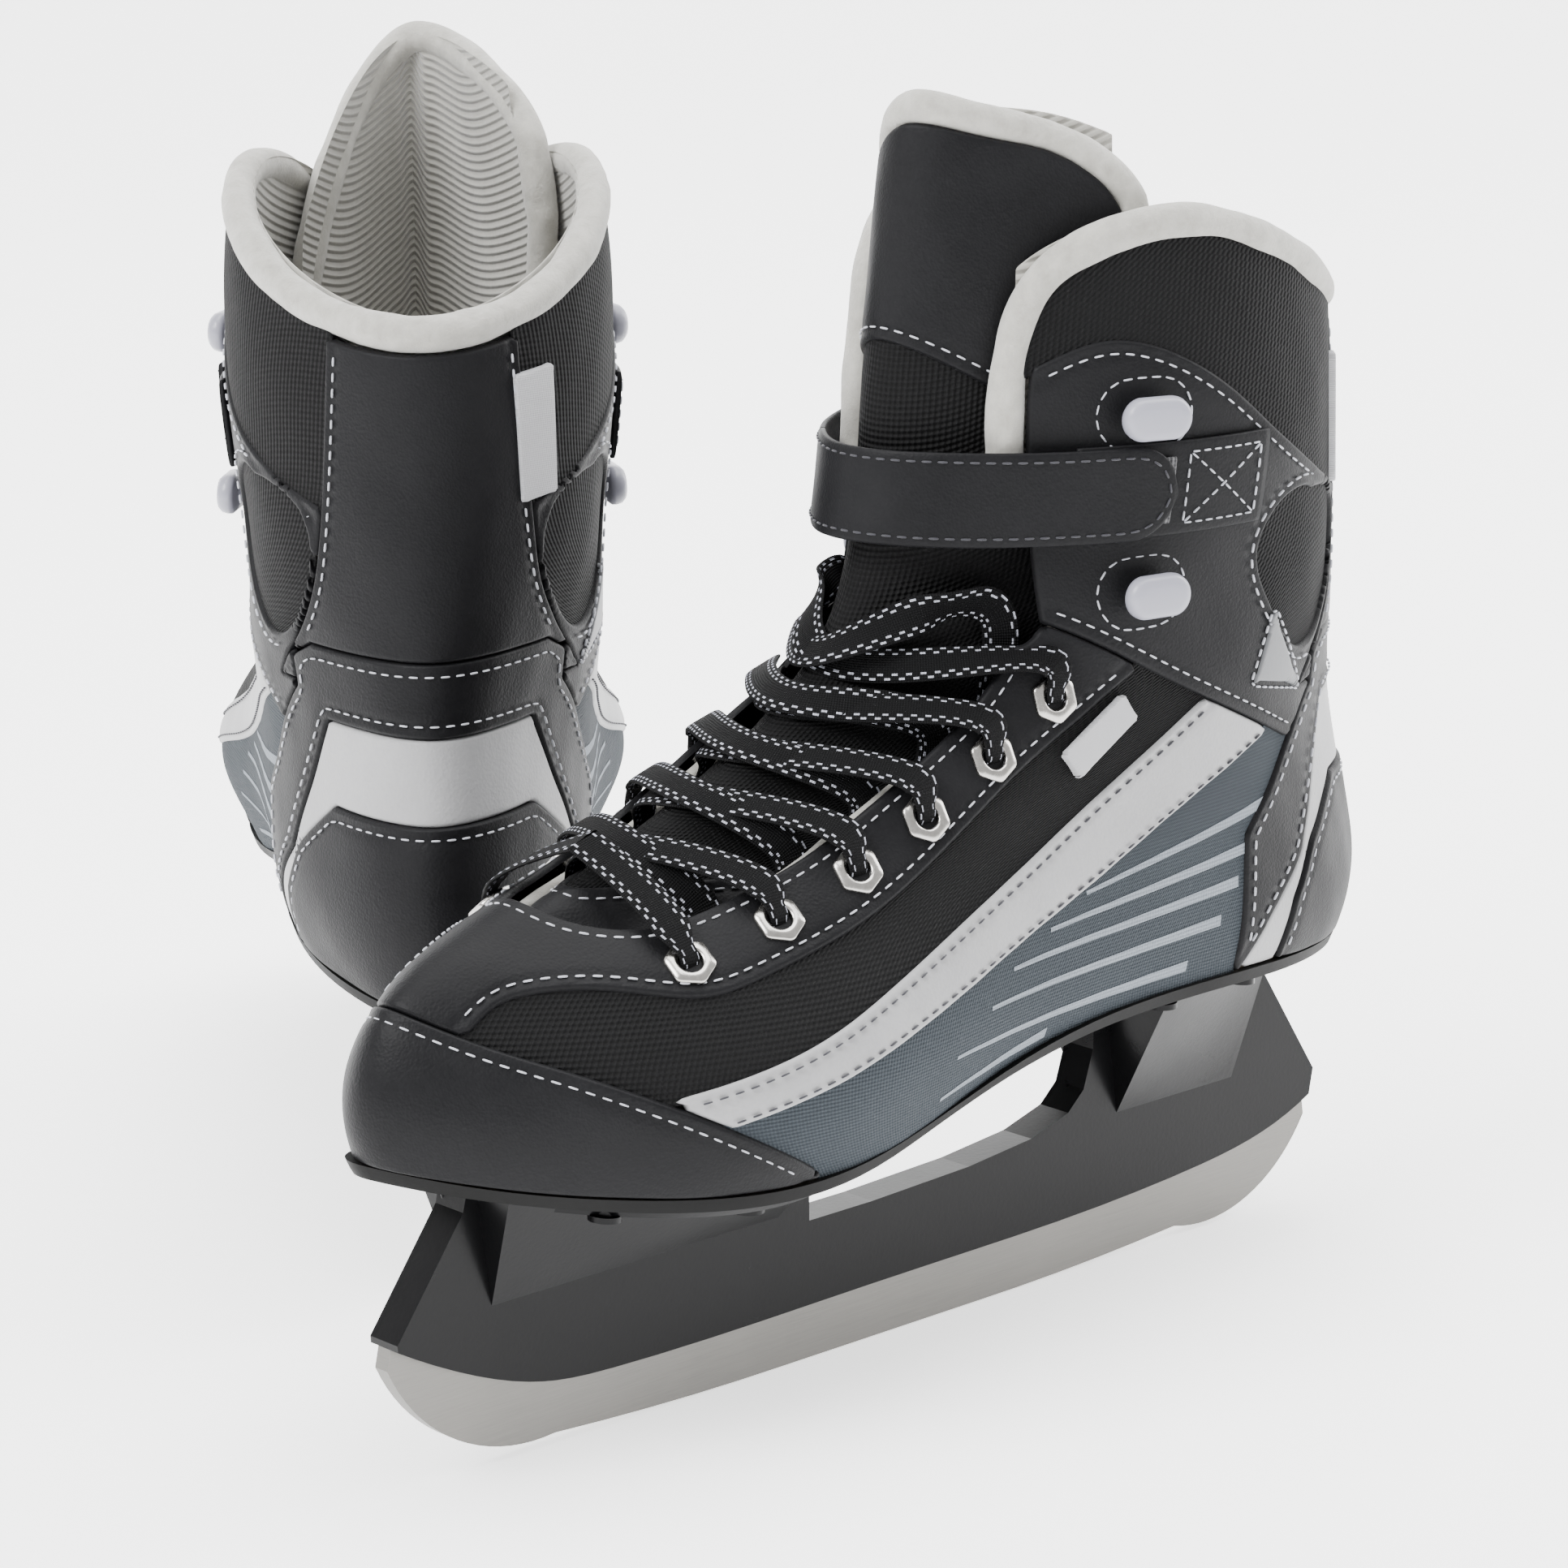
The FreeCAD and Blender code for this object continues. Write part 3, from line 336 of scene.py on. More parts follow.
class Cut:
    """The seam lines of one surface, as distance fields."""

    def __init__(self, skin):
        self.skin = skin
        self.side = skin.points[..., (0, 2)]

    def region(self, line, corners=(), smooth=True):
        line = curve(graded(line)) if smooth else graded(line)
        return self.skin.distance(inside(self.side, list(line) + list(corners)))

    def over(self, line):
        ends = graded((line[0], line[-1]))
        return self.region(line, ((-FAR, ends[1][1]), (-FAR, FAR), (FAR, FAR), (FAR, ends[0][1])))

    def throat(self):
        line = [(x * GRADE[0], y * GRADE[1] + float(lean(x)) * GRADE[1]) for x, y in THROAT]
        other = [(x * GRADE[0], -y * GRADE[1] + float(lean(x)) * GRADE[1]) for x, y in THROAT]
        toe = (THROAT[0][0] * GRADE[0] + 3.0, float(lean(THROAT[0][0])) * GRADE[1])
        outline = curve(line[::-1] + [toe] + other, 160)
        field = self.skin.distance(inside(self.skin.points[..., :2], outline))
        return np.where(self.skin.points[..., 2] > 95, field, -np.abs(field) - 3)


def lines_of(cut):
    """Every region of the upper."""
    far = FAR
    fields = {}
    sole = graded(SOLE_LINE)
    fields["sole"] = cut.region(SOLE_LINE, ((sole[-1][0], far), (sole[0][0], far)))
    collar = graded(COLLAR)
    below = ((-far, collar[-1][1]), (-far, -far), (far, -far), (far, collar[0][1]))
    fields["collar"] = cut.region(COLLAR, below)
    fields["throat"] = cut.throat()
    toe = graded(((50, 0), (0, 109)))
    fields["toe"] = cut.region(TOE_SEAM, ((toe[0][0], -far), (far, -far), (far, toe[1][1])))
    low_corners = [tuple(p) for p in graded(((-400, 60), (-400, 112), (-400, 131)))]
    fields["patch"] = cut.region(PATCH_EDGE, (low_corners[0], low_corners[1]), False)
    fields["panel"] = cut.region(PANEL_EDGE, (low_corners[0], low_corners[2]), False)
    edge = graded(COUNTER_EDGE)
    fields["counter"] = cut.region(COUNTER_EDGE, ((-far, edge[-1][1]), (-far, far), (edge[0][0], far)))
    top = graded(BAND_TOP)
    fields["band"] = cut.region(BAND_TOP, ((top[-1][0], -far), (-far, -far)), False)
    edge = graded(STAY_EDGE)
    fields["stay"] = cut.region(STAY_EDGE, ((-far, edge[-1][1]), (-far, edge[0][1])))
    fields["window"] = cut.region(tuple(WINDOW) + (WINDOW[0],))
    fields["cuff_top"] = cut.over(CUFF_TOP)
    fields["cuff_seam"] = cut.over(CUFF_SEAM)
    fields["eyestay"] = cut.over(EYESTAY_LINE)
    fields["stripe_top"] = cut.over(STRIPE_TOP)
    fields["stripe_bottom"] = cut.over(STRIPE_BOTTOM)
    return fields


# ---- meshes from fields -----------------------------------------------------
def clipped(skin, field, level, extra=None):
    """The part of a surface where the field is above level.

    Returns rows of values (place, normal, uv, then extra), triangles, and the cut's
    short edges with the kept side on their left.
    """
    rows, columns = field.shape
    blocks = [skin.points, skin.normals, skin.uv] + ([extra] if extra is not None else [])
    values = np.concatenate([b.reshape(rows * columns, -1) for b in blocks], 1)
    f = field.ravel() - level
    i, j = np.meshgrid(np.arange(rows - 1), np.arange(columns), indexing="ij")
    a, b = i * columns + j, i * columns + (j + 1) % columns
    c, d = b + columns, a + columns
    triangles = np.concatenate((np.stack((a, b, c), 2).reshape(-1, 3), np.stack((a, c, d), 2).reshape(-1, 3)))
    kept = f[triangles] > 0
    whole = triangles[kept.all(1)]
    mixed = triangles[kept.any(1) & ~kept.all(1)]
    used = np.unique(np.concatenate((whole.ravel(), mixed[f[mixed] > 0])))
    index = np.full(len(f), -1)
    index[used] = np.arange(len(used))
    fresh, made, faces, edges = [], {}, [tuple(t) for t in index[whole]], []

    def crossing(p, q):
        key = (p, q) if p < q else (q, p)
        if key not in made:
            t = f[key[0]] / (f[key[0]] - f[key[1]])
            made[key] = len(used) + len(fresh)
            fresh.append(values[key[0]] * (1 - t) + values[key[1]] * t)
        return made[key]

    for tri in mixed:
        ring, cut = [], []
        for k in range(3):
            p, q = int(tri[k]), int(tri[(k + 1) % 3])
            if f[p] > 0:
                ring.append(int(index[p]))
            if (f[p] > 0) != (f[q] > 0):
                ring.append(crossing(p, q))
                cut.append((ring[-1], f[p] > 0))
        faces.append(tuple(ring))
        leaving = next(v for v, out in cut if out)
        coming = next(v for v, out in cut if not out)
        edges.append((leaving, coming))
    out = np.concatenate((values[used], np.array(fresh).reshape(-1, values.shape[1])))
    return out, faces, edges


def chains(edges):
    """Edges joined end to end into runs; a closed run ends where it starts."""
    after = {a: b for a, b in edges}
    starts = [a for a in after if a not in set(after.values())]
    runs, seen = [], set()
    for first in starts + list(after):
        if first in seen:
            continue
        run = [first]
        seen.add(first)
        while run[-1] in after:
            nxt = after[run[-1]]
            run.append(nxt)
            if nxt in seen:
                break
            seen.add(nxt)
        if len(run) > 3:
            runs.append(run)
    return runs


def ripples(points):
    """Slight unevenness of stretched leather, in mm."""
    x, y, z = points[:, 0], points[:, 1], points[:, 2]
    wave = np.sin(x * 0.09 + z * 0.05) * np.sin(y * 0.07 + z * 0.11 + 1.3)
    return 0.22 * wave + 0.1 * np.sin(x * 0.23 - z * 0.19) * np.sin(y * 0.21 + x * 0.13)


RIM_STEPS = 4


def panel(skin, field, top=0.0, drop=1.6, radius=1.0, grooves=(), bump=1.0):
    """A sewn panel: flat in its middle, its edge rounded down by drop over radius."""
    gradient = unit(skin.gradient(field))
    marks = [gradient] + [g[..., None] for g, level in grooves]
    values, faces, edges = clipped(skin, field, radius, np.concatenate(marks, 2))
    points, normals, uv, inward = values[:, :3], values[:, 3:6], values[:, 6:8], unit(values[:, 8:11])
    height = np.full(len(points), float(top)) + ripples(points) * bump
    for k, (g, level) in enumerate(grooves):
        height -= 0.3 * np.exp(-((values[:, 11 + k] - level) / 1.1) ** 2)
    verts = [points + unit(normals) * height[:, None]]
    uvs = [uv]
    count = len(points)
    rim = sorted({v for e in edges for v in e})
    place = {v: k for k, v in enumerate(rim)}
    base = points[rim]
    normal, out = unit(normals[rim]), -inward[rim]
    for step in range(1, RIM_STEPS + 1):
        turn = math.pi / 2 * step / RIM_STEPS
        fall = height[rim] - (drop + top) * (1 - math.cos(turn))
        verts.append(base + normal * fall[:, None] + out * radius * math.sin(turn))
        uvs.append(uv[rim])
    for a, b in edges:
        ka, kb = place[a], place[b]
        for step in range(RIM_STEPS):
            at = count + (step - 1) * len(rim)
            a0, b0 = (a, b) if step == 0 else (at + ka, at + kb)
            a1, b1 = count + step * len(rim) + ka, count + step * len(rim) + kb
            faces.append((b0, a0, a1, b1))
    return np.concatenate(verts), faces, np.concatenate(uvs)


def contour(skin, field, level, within=None, margin=0.0, width=3):
    """Lines where a field passes level, cut where they leave the field called within."""
    extra = np.concatenate((unit(skin.gradient(field)), (field if within is None else within)[..., None]), 2)
    values, faces, edges = clipped(skin, field, level, extra)
    runs = []
    for run in chains(edges):
        path = values[run]
        if within is None:
            runs.append(path)
            continue
        good = path[:, 11] > margin
        start = None
        for k, ok in enumerate(list(good) + [False]):
            if ok and start is None:
                start = k
            if not ok and start is not None:
                if k - start > width:
                    runs.append(path[start:k])
                start = None
    return runs


def smoothed(path, times=3):
    path = path.copy()
    for _ in range(times):
        path[1:-1] = path[1:-1] * 0.5 + (path[:-2] + path[2:]) * 0.25
    return path


def capsule(segments=6, rings=4):
    verts, faces = [(-1.0, 0, 0)], []
    for r in range(1, rings):
        a = math.pi * r / rings
        x, radius = -math.copysign(abs(math.cos(a)) ** 0.6, math.cos(a)), math.sin(a) ** 0.5
        turns = [2 * math.pi * s / segments for s in range(segments)]
        verts += [(x, radius * math.cos(t), radius * math.sin(t)) for t in turns]
    verts.append((1.0, 0, 0))
    for s in range(segments):
        n = (s + 1) % segments
        faces.append((0, 1 + n, 1 + s))
        for r in range(rings - 2):
            p = 1 + r * segments
            faces.append((p + s, p + n, p + segments + n, p + segments + s))
        p = 1 + (rings - 2) * segments
        faces.append((p + s, p + n, len(verts) - 1))
    return np.array(verts), faces


CAPSULE = capsule()
STITCH, STITCH_GAP, STITCH_WIDE, STITCH_HIGH = 2.2, 1.4, 0.46, 0.34


def stitches(paths, lift=0.12, length=STITCH, gap=STITCH_GAP, wide=STITCH_WIDE):
    """Thread dashes along paths of place and normal."""
    verts, faces = [], []
    template, template_faces = CAPSULE
    for path in paths:
        path = resampled(smoothed(path[:, :6]), length + gap)
        for a, b in zip(path, path[1:]):
            run = b[:3] - a[:3]
            span = np.linalg.norm(run)
            if span < 1.5:
                continue
            along = run / span
            normal = unit(a[3:6] + b[3:6])
            across = unit(np.cross(normal, along))
            normal = np.cross(along, across)
            centre = (a[:3] + b[:3]) / 2 + normal * lift
            size = np.array((span - gap, wide, STITCH_HIGH * 2)) / 2
            base = len(verts) * len(template)
            local = template * size
            verts.append(centre + local @ np.stack((along, across, normal)))
            faces += [tuple(base + i for i in f) for f in template_faces]
    if not verts:
        return np.zeros((0, 3)), []
    return np.concatenate(verts), faces


def grid_faces(around, rows, outward=True):
    """Quads between neighbouring rows of points; columns follow each other in the list."""
    faces = []
    for k in range(around):
        n = (k + 1) % around
        for i in range(rows - 1):
            quad = (k * rows + i, n * rows + i, n * rows + i + 1, k * rows + i + 1)
            faces.append(quad if outward else (quad[0], quad[3], quad[2], quad[1]))
    return faces


def end_faces(around, rows):
    """The two flat ends of a closed run of rows."""
    return [tuple(k * rows for k in range(around))[::-1], tuple(k * rows + rows - 1 for k in range(around))]


def tube(path, wide, deep, sink, around=26, step=1.3, fuzz=0.0, seed=1):
    """A soft roll along a path of place, normal and (columns 8-10) inward direction."""
    path = resampled(smoothed(path, 8), step)
    rng = np.random.default_rng(seed)
    centre = path[:, :3] - unit(path[:, 3:6]) * sink
    run = unit(np.gradient(centre, axis=0))
    normal = path[:, 3:6] - run * (path[:, 3:6] * run).sum(1)[:, None]
    normal = unit(normal)
    side = np.cross(run, normal)
    rows = len(centre)
    verts, uvs = [], []
    length = np.concatenate(((0.0,), np.cumsum(np.linalg.norm(np.diff(centre, axis=0), axis=1))))
    noise = rng.normal(0, 1, (rows, around))
    for _ in range(2):
        noise = (noise + np.roll(noise, 1, 1) + np.roll(noise, -1, 1)) / 3
        noise[1:-1] = (noise[1:-1] + noise[:-2] + noise[2:]) / 3
    swell = 1 + 0.05 * np.sin(length * 0.11) + 0.03 * np.sin(length * 0.29 + 1)
    ends = np.minimum(length, length[-1] - length)
    taper = np.sqrt(np.clip(1 - (1 - np.clip(ends / 3.5, 0, 1)) ** 2, 0.02, 1))
    for k in range(around):
        angle = 2 * math.pi * k / around
        grow = (swell + noise[:, k] * fuzz) * taper
        verts.append(centre + normal * (math.cos(angle) * deep * grow)[:, None]
                     + side * (math.sin(angle) * wide * grow)[:, None])
        uvs.append(np.stack((length, np.full(rows, k * 2 * math.pi * deep / around)), 1))
    return np.concatenate(verts), grid_faces(around, rows) + end_faces(around, rows), np.concatenate(uvs)


def joined(*pieces):
    """Several (verts, faces) or (verts, faces, uvs) as one."""
    verts, faces, uvs, base = [], [], [], 0
    for piece in pieces:
        if not len(piece[0]):
            continue
        verts.append(piece[0])
        faces += [tuple(base + i for i in f) for f in piece[1]]
        uvs.append(piece[2] if len(piece) > 2 else np.zeros((len(piece[0]), 2)))
        base += len(piece[0])
    return np.concatenate(verts), faces, np.concatenate(uvs)


# ---- materials ----------------------------------------------------------------
class Paint:
    """One node material, with short calls for the nodes it needs."""

    def __init__(self, name, colour, rough, metallic=0.0, specular=0.5, sheen=0.0, coat=0.0, coat_rough=0.1):
        self.mat = bpy.data.materials.new(name)
        self.mat.use_nodes = True
        tree = self.mat.node_tree
        self.new, self.link = tree.nodes.new, tree.links.new
        self.shader = tree.nodes["Principled BSDF"]
        settings = {"Base Color": (*colour, 1), "Roughness": rough, "Metallic": metallic,
                    "Specular IOR Level": specular, "Sheen Weight": sheen,
                    "Coat Weight": coat, "Coat Roughness": coat_rough}
        for socket, value in settings.items():
            self.shader.inputs[socket].default_value = value

    def node(self, kind, **values):
        made = self.new(kind)
        for key, value in values.items():
            if hasattr(made, key):
                setattr(made, key, value)
            else:
                made.inputs[key.replace("_", " ")].default_value = value
        return made

    def maths(self, operation, a, b=None):
        made = self.new("ShaderNodeMath")
        made.operation = operation
        for k, value in enumerate((a, b)):
            if isinstance(value, (int, float)):
                made.inputs[k].default_value = value
            elif value is not None:
                self.link(value, made.inputs[k])
        return made.outputs[0]

    def ramp(self, source, low_at, low, high_at, high):
        made = self.new("ShaderNodeMapRange")
        for socket, value in (("From Min", low_at), ("From Max", high_at), ("To Min", low), ("To Max", high)):
            made.inputs[socket].default_value = value
        self.link(source, made.inputs["Value"])
        return made.outputs[0]

    def mix(self, factor, one, two):
        made = self.new("ShaderNodeMix")
        made.data_type = "RGBA"
        self.link(factor, made.inputs["Factor"])
        made.inputs["A"].default_value = (*one, 1)
        made.inputs["B"].default_value = (*two, 1)
        return made.outputs["Result"]

    def bump(self, height, strength, distance):
        made = self.new("ShaderNodeBump")
        made.inputs["Strength"].default_value = strength
        made.inputs["Distance"].default_value = distance
        self.link(height, made.inputs["Height"])
        self.link(made.outputs[0], self.shader.inputs["Normal"])

    def place(self):
        return self.new("ShaderNodeTexCoord").outputs["Object"]

    def uv_parts(self):
        source = self.new("ShaderNodeTexCoord").outputs["UV"]
        split = self.new("ShaderNodeSeparateXYZ")
        self.link(source, split.inputs[0])
        return split.outputs[0], split.outputs[1]


def leather(name, colour, light, rough, grain=1500.0, specular=0.42):
    """Grained synthetic leather: fine cells, pores, and slightly scuffed high spots."""
    paint = Paint(name, colour, rough, specular=specular)
    where = paint.place()
    cells = paint.node("ShaderNodeTexVoronoi", Scale=grain)
    pores = paint.node("ShaderNodeTexNoise", Scale=grain * 0.7, Detail=4.0, Roughness=0.6)
    cloud = paint.node("ShaderNodeTexNoise", Scale=42.0, Detail=5.0, Roughness=0.6)
    for texture in (cells, pores, cloud):
        paint.link(where, texture.inputs["Vector"])
    height = paint.maths("ADD", paint.maths("MULTIPLY", cells.outputs["Distance"], 0.6),
                   paint.maths("MULTIPLY", pores.outputs[0], 0.8))
    paint.bump(height, 0.4, 0.00025)
    tone = paint.maths("ADD", paint.maths("MULTIPLY", cloud.outputs[0], 0.7),
                 paint.maths("MULTIPLY", pores.outputs[0], 0.3))
    paint.link(paint.mix(paint.ramp(tone, 0.3, 0.0, 0.72, 1.0), colour, light),
              paint.shader.inputs["Base Color"])
    gloss = paint.ramp(cloud.outputs[0], 0.3, rough - 0.06, 0.7, rough + 0.08)
    paint.link(gloss, paint.shader.inputs["Roughness"])
    return paint.mat


def knit(name, colour, light, cell, rough=0.75, strength=1.0, sheen=0.15, specular=0.3):
    """Open mesh or plain weave, in mm of the cloth's own length and width."""
    paint = Paint(name, colour, rough, specular=specular, sheen=sheen)
    u, v = paint.uv_parts()
    k = 2 * math.pi / cell
    a = paint.maths("SINE", paint.maths("MULTIPLY", paint.maths("ADD", u, v), k * 0.72))
    b = paint.maths("SINE", paint.maths("MULTIPLY", paint.maths("SUBTRACT", u, v), k * 0.72))
    weave = paint.maths("MULTIPLY", a, b)
    fine = paint.node("ShaderNodeTexNoise", Scale=1800.0, Detail=2.0)
    paint.link(paint.place(), fine.inputs["Vector"])
    height = paint.maths("ADD", weave, paint.maths("MULTIPLY", fine.outputs[0], 0.5))
    paint.bump(height, strength, 0.0003)
    cloud = paint.node("ShaderNodeTexNoise", Scale=60.0, Detail=3.0)
    paint.link(paint.place(), cloud.outputs[0].node.inputs["Vector"])
    tone = paint.maths("ADD", paint.ramp(weave, -1.0, 0.0, 1.0, 0.8),
                 paint.maths("MULTIPLY", cloud.outputs[0], 0.3))
    paint.link(paint.mix(tone, colour, light), paint.shader.inputs["Base Color"])
    return paint.mat


def fleece(name, colour, painted_shade, ribs=0.0):
    paint = Paint(name, colour, 0.95, specular=0.15, sheen=0.5)
    paint.shader.inputs["Sheen Roughness"].default_value = 0.5
    where = paint.place()
    fuzz = paint.node("ShaderNodeTexNoise", Scale=1300.0, Detail=6.0, Roughness=0.75)
    tuft = paint.node("ShaderNodeTexNoise", Scale=240.0, Detail=5.0, Roughness=0.65)
    paint.link(where, fuzz.inputs["Vector"])
    paint.link(where, tuft.inputs["Vector"])
    height = paint.maths("ADD", paint.maths("MULTIPLY", fuzz.outputs[0], 0.7), tuft.outputs[0])
    tone = tuft.outputs[0]
    if ribs:
        u, v = paint.uv_parts()
        lines = paint.maths("ADD", paint.maths("MULTIPLY", u, 0.55), v)
        rib = paint.maths("SINE", paint.maths("MULTIPLY", lines, 2 * math.pi / ribs))
        height = paint.maths("ADD", height, paint.maths("MULTIPLY", rib, 1.1))
        tone = paint.maths("ADD", paint.maths("MULTIPLY", tone, 0.6),
                     paint.ramp(rib, -1.0, 0.0, 1.0, 0.4))
    paint.bump(height, 0.75, 0.0006)
    # The second colour is painted shade: the fleece is darker where its tuft and rib bump is low, in the
    # hollows.
    paint.link(paint.mix(paint.ramp(tone, 0.3, 0.0, 0.65, 1.0), painted_shade, colour),
              paint.shader.inputs["Base Color"])
    return paint.mat


def plastic(name, colour, light, rough, coat=0.0, scale=900.0, strength=0.15, specular=0.4):
    paint = Paint(name, colour, rough, coat=coat, coat_rough=0.12, specular=specular)
    grain = paint.node("ShaderNodeTexNoise", Scale=scale, Detail=3.0)
    cloud = paint.node("ShaderNodeTexNoise", Scale=25.0, Detail=4.0)
    paint.link(paint.place(), grain.inputs["Vector"])
    paint.link(paint.place(), cloud.inputs["Vector"])
    paint.bump(grain.outputs[0], strength, 0.0002)
    paint.link(paint.mix(cloud.outputs[0], colour, light), paint.shader.inputs["Base Color"])
    gloss = paint.ramp(cloud.outputs[0], 0.3, rough - 0.05, 0.7, rough + 0.07)
    paint.link(gloss, paint.shader.inputs["Roughness"])
    return paint.mat


def steel(name, colour, light, rough, stretch):
    """Ground steel: scratches drawn out along the blade."""
    paint = Paint(name, colour, rough, metallic=1.0)
    shift = paint.new("ShaderNodeMapping")
    shift.inputs["Scale"].default_value = stretch
    paint.link(paint.place(), shift.inputs["Vector"])
    lines = paint.node("ShaderNodeTexNoise", Scale=1.0, Detail=6.0, Roughness=0.7)
    paint.link(shift.outputs[0], lines.inputs["Vector"])
    cloud = paint.node("ShaderNodeTexNoise", Scale=30.0, Detail=4.0)
    paint.link(paint.place(), cloud.inputs["Vector"])
    paint.bump(lines.outputs[0], 0.25, 0.0001)
    tone = paint.maths("ADD", paint.maths("MULTIPLY", lines.outputs[0], 0.6),
                 paint.maths("MULTIPLY", cloud.outputs[0], 0.4))
    paint.link(paint.mix(paint.ramp(tone, 0.3, 0.0, 0.7, 1.0), colour, light),
              paint.shader.inputs["Base Color"])
    paint.link(paint.ramp(tone, 0.3, rough - 0.05, 0.7, rough + 0.1), paint.shader.inputs["Roughness"])
    return paint.mat


def thread(name, colour):
    paint = Paint(name, colour, 0.6, sheen=0.2)
    twist = paint.node("ShaderNodeTexNoise", Scale=3000.0, Detail=2.0)
    paint.link(paint.place(), twist.inputs["Vector"])
    paint.bump(twist.outputs[0], 0.3, 0.0001)
    dull = tuple(c * 0.7 for c in colour)
    paint.link(paint.mix(twist.outputs[0], dull, colour), paint.shader.inputs["Base Color"])
    return paint.mat


LACE_DOT_ROWS = ((2.5, 0.0), (3.5, 0.5))
LACE_DOT_WIDE, LACE_DOT_LONG, LACE_DOT_PITCH = 0.5, 1.2, 3.0


def lace_braid(name):
    """Flat black braid, UV in mm: dots of light yarn in rows along both halves."""
    dark, light, dot = (0.0012, 0.0012, 0.0014), (0.0042, 0.0042, 0.0048), (0.4, 0.41, 0.47)
    paint = Paint(name, dark, 0.75, sheen=0.0, specular=0.12)
    u, v = paint.uv_parts()
    k = 2 * math.pi / 1.15
    a = paint.maths("SINE", paint.maths("MULTIPLY", paint.maths("ADD", u, v), k))
    b = paint.maths("SINE", paint.maths("MULTIPLY", paint.maths("SUBTRACT", u, v), k))
    weave = paint.maths("MULTIPLY", a, b)
    across = paint.maths("ABSOLUTE", v)
    masks = []
    for row, shift in LACE_DOT_ROWS:
        off = paint.maths("ABSOLUTE", paint.maths("SUBTRACT", across, row))
        in_row = paint.maths("LESS_THAN", off, LACE_DOT_WIDE / 2)
        turn = paint.maths("ADD", paint.maths("DIVIDE", u, LACE_DOT_PITCH), shift)
        in_dash = paint.maths("LESS_THAN", paint.maths("FRACT", turn), LACE_DOT_LONG / LACE_DOT_PITCH)
        masks.append(paint.maths("MULTIPLY", in_row, in_dash))
    mask = paint.maths("ADD", *masks)
    paint.bump(paint.maths("ADD", weave, mask), 0.8, 0.00025)
    tone = paint.ramp(weave, -1.0, 0.0, 1.0, 1.0)
    base = paint.new("ShaderNodeMix")
    base.data_type = "RGBA"
    paint.link(mask, base.inputs["Factor"])
    paint.link(paint.mix(tone, dark, light), base.inputs["A"])
    base.inputs["B"].default_value = (*dot, 1)
    paint.link(base.outputs["Result"], paint.shader.inputs["Base Color"])
    return paint.mat


M = {
    "black_leather": leather("charcoal_leather", (0.005, 0.005, 0.0057),
                             (0.0095, 0.0095, 0.0105), 0.48, specular=0.1),
    "silver_leather": leather("silver_grey_leather", (0.27, 0.27, 0.275),
                              (0.33, 0.33, 0.335), 0.45, 1200.0, specular=0.3),
    "black_mesh": knit("black_mesh_cloth", (0.0015, 0.0015, 0.0015),
                       (0.007, 0.007, 0.0075), 1.9, sheen=0.0, specular=0.12),
    "slate_fabric": knit("slate_weave", (0.022, 0.0275, 0.0335),
                         (0.043, 0.052, 0.061), 1.3, strength=0.8, sheen=0.0, specular=0.15),
    "stripe_print": knit("pale_print", (0.16, 0.18, 0.205),
                         (0.21, 0.235, 0.265), 1.3, strength=0.6, sheen=0.0),
    "fleece": fleece("cream_fleece", (0.43, 0.42, 0.385), (0.32, 0.31, 0.28)),
    "ribbed": fleece("ribbed_fleece", (0.42, 0.41, 0.375), (0.33, 0.32, 0.29), 2.0),
    "lace_cord": lace_braid("lace_braid"),
    "white_thread": thread("white_thread", (0.5, 0.51, 0.56)),
    "black_thread": thread("black_thread", (0.012, 0.012, 0.02)),
    "eyelet_steel": steel("plated_steel", (0.4, 0.385, 0.36),
                          (0.55, 0.535, 0.51), 0.22, (600.0, 600.0, 600.0)),
    "hook_plastic": plastic("lilac_grey_plastic", (0.25, 0.25, 0.3), (0.3, 0.3, 0.345), 0.33, 0.2),
    "holder_plastic": plastic("holder_black_plastic", (0.0022, 0.0022, 0.0026),
                              (0.004, 0.004, 0.0044), 0.3, specular=0.14),
    "blade_steel": steel("ground_steel", (0.15, 0.147, 0.138),
                         (0.21, 0.203, 0.19), 0.42, (60.0, 60.0, 2600.0)),
    "sole_rubber": plastic("sole_rubber", (0.004, 0.004, 0.004),
                           (0.007, 0.007, 0.007), 0.6, specular=0.1),
    "board_fibre": plastic("fibre_board", (0.2, 0.16, 0.11), (0.28, 0.23, 0.16), 0.8),
    "footbed_foam": knit("footbed_cloth", (0.04, 0.04, 0.042), (0.09, 0.09, 0.095), 1.4),
    "label_cloth": knit("white_label", (0.36, 0.36, 0.375), (0.45, 0.45, 0.465), 0.7, strength=0.4),
    "badge_vinyl": plastic("grey_vinyl", (0.12, 0.123, 0.13), (0.16, 0.164, 0.17), 0.45),
}


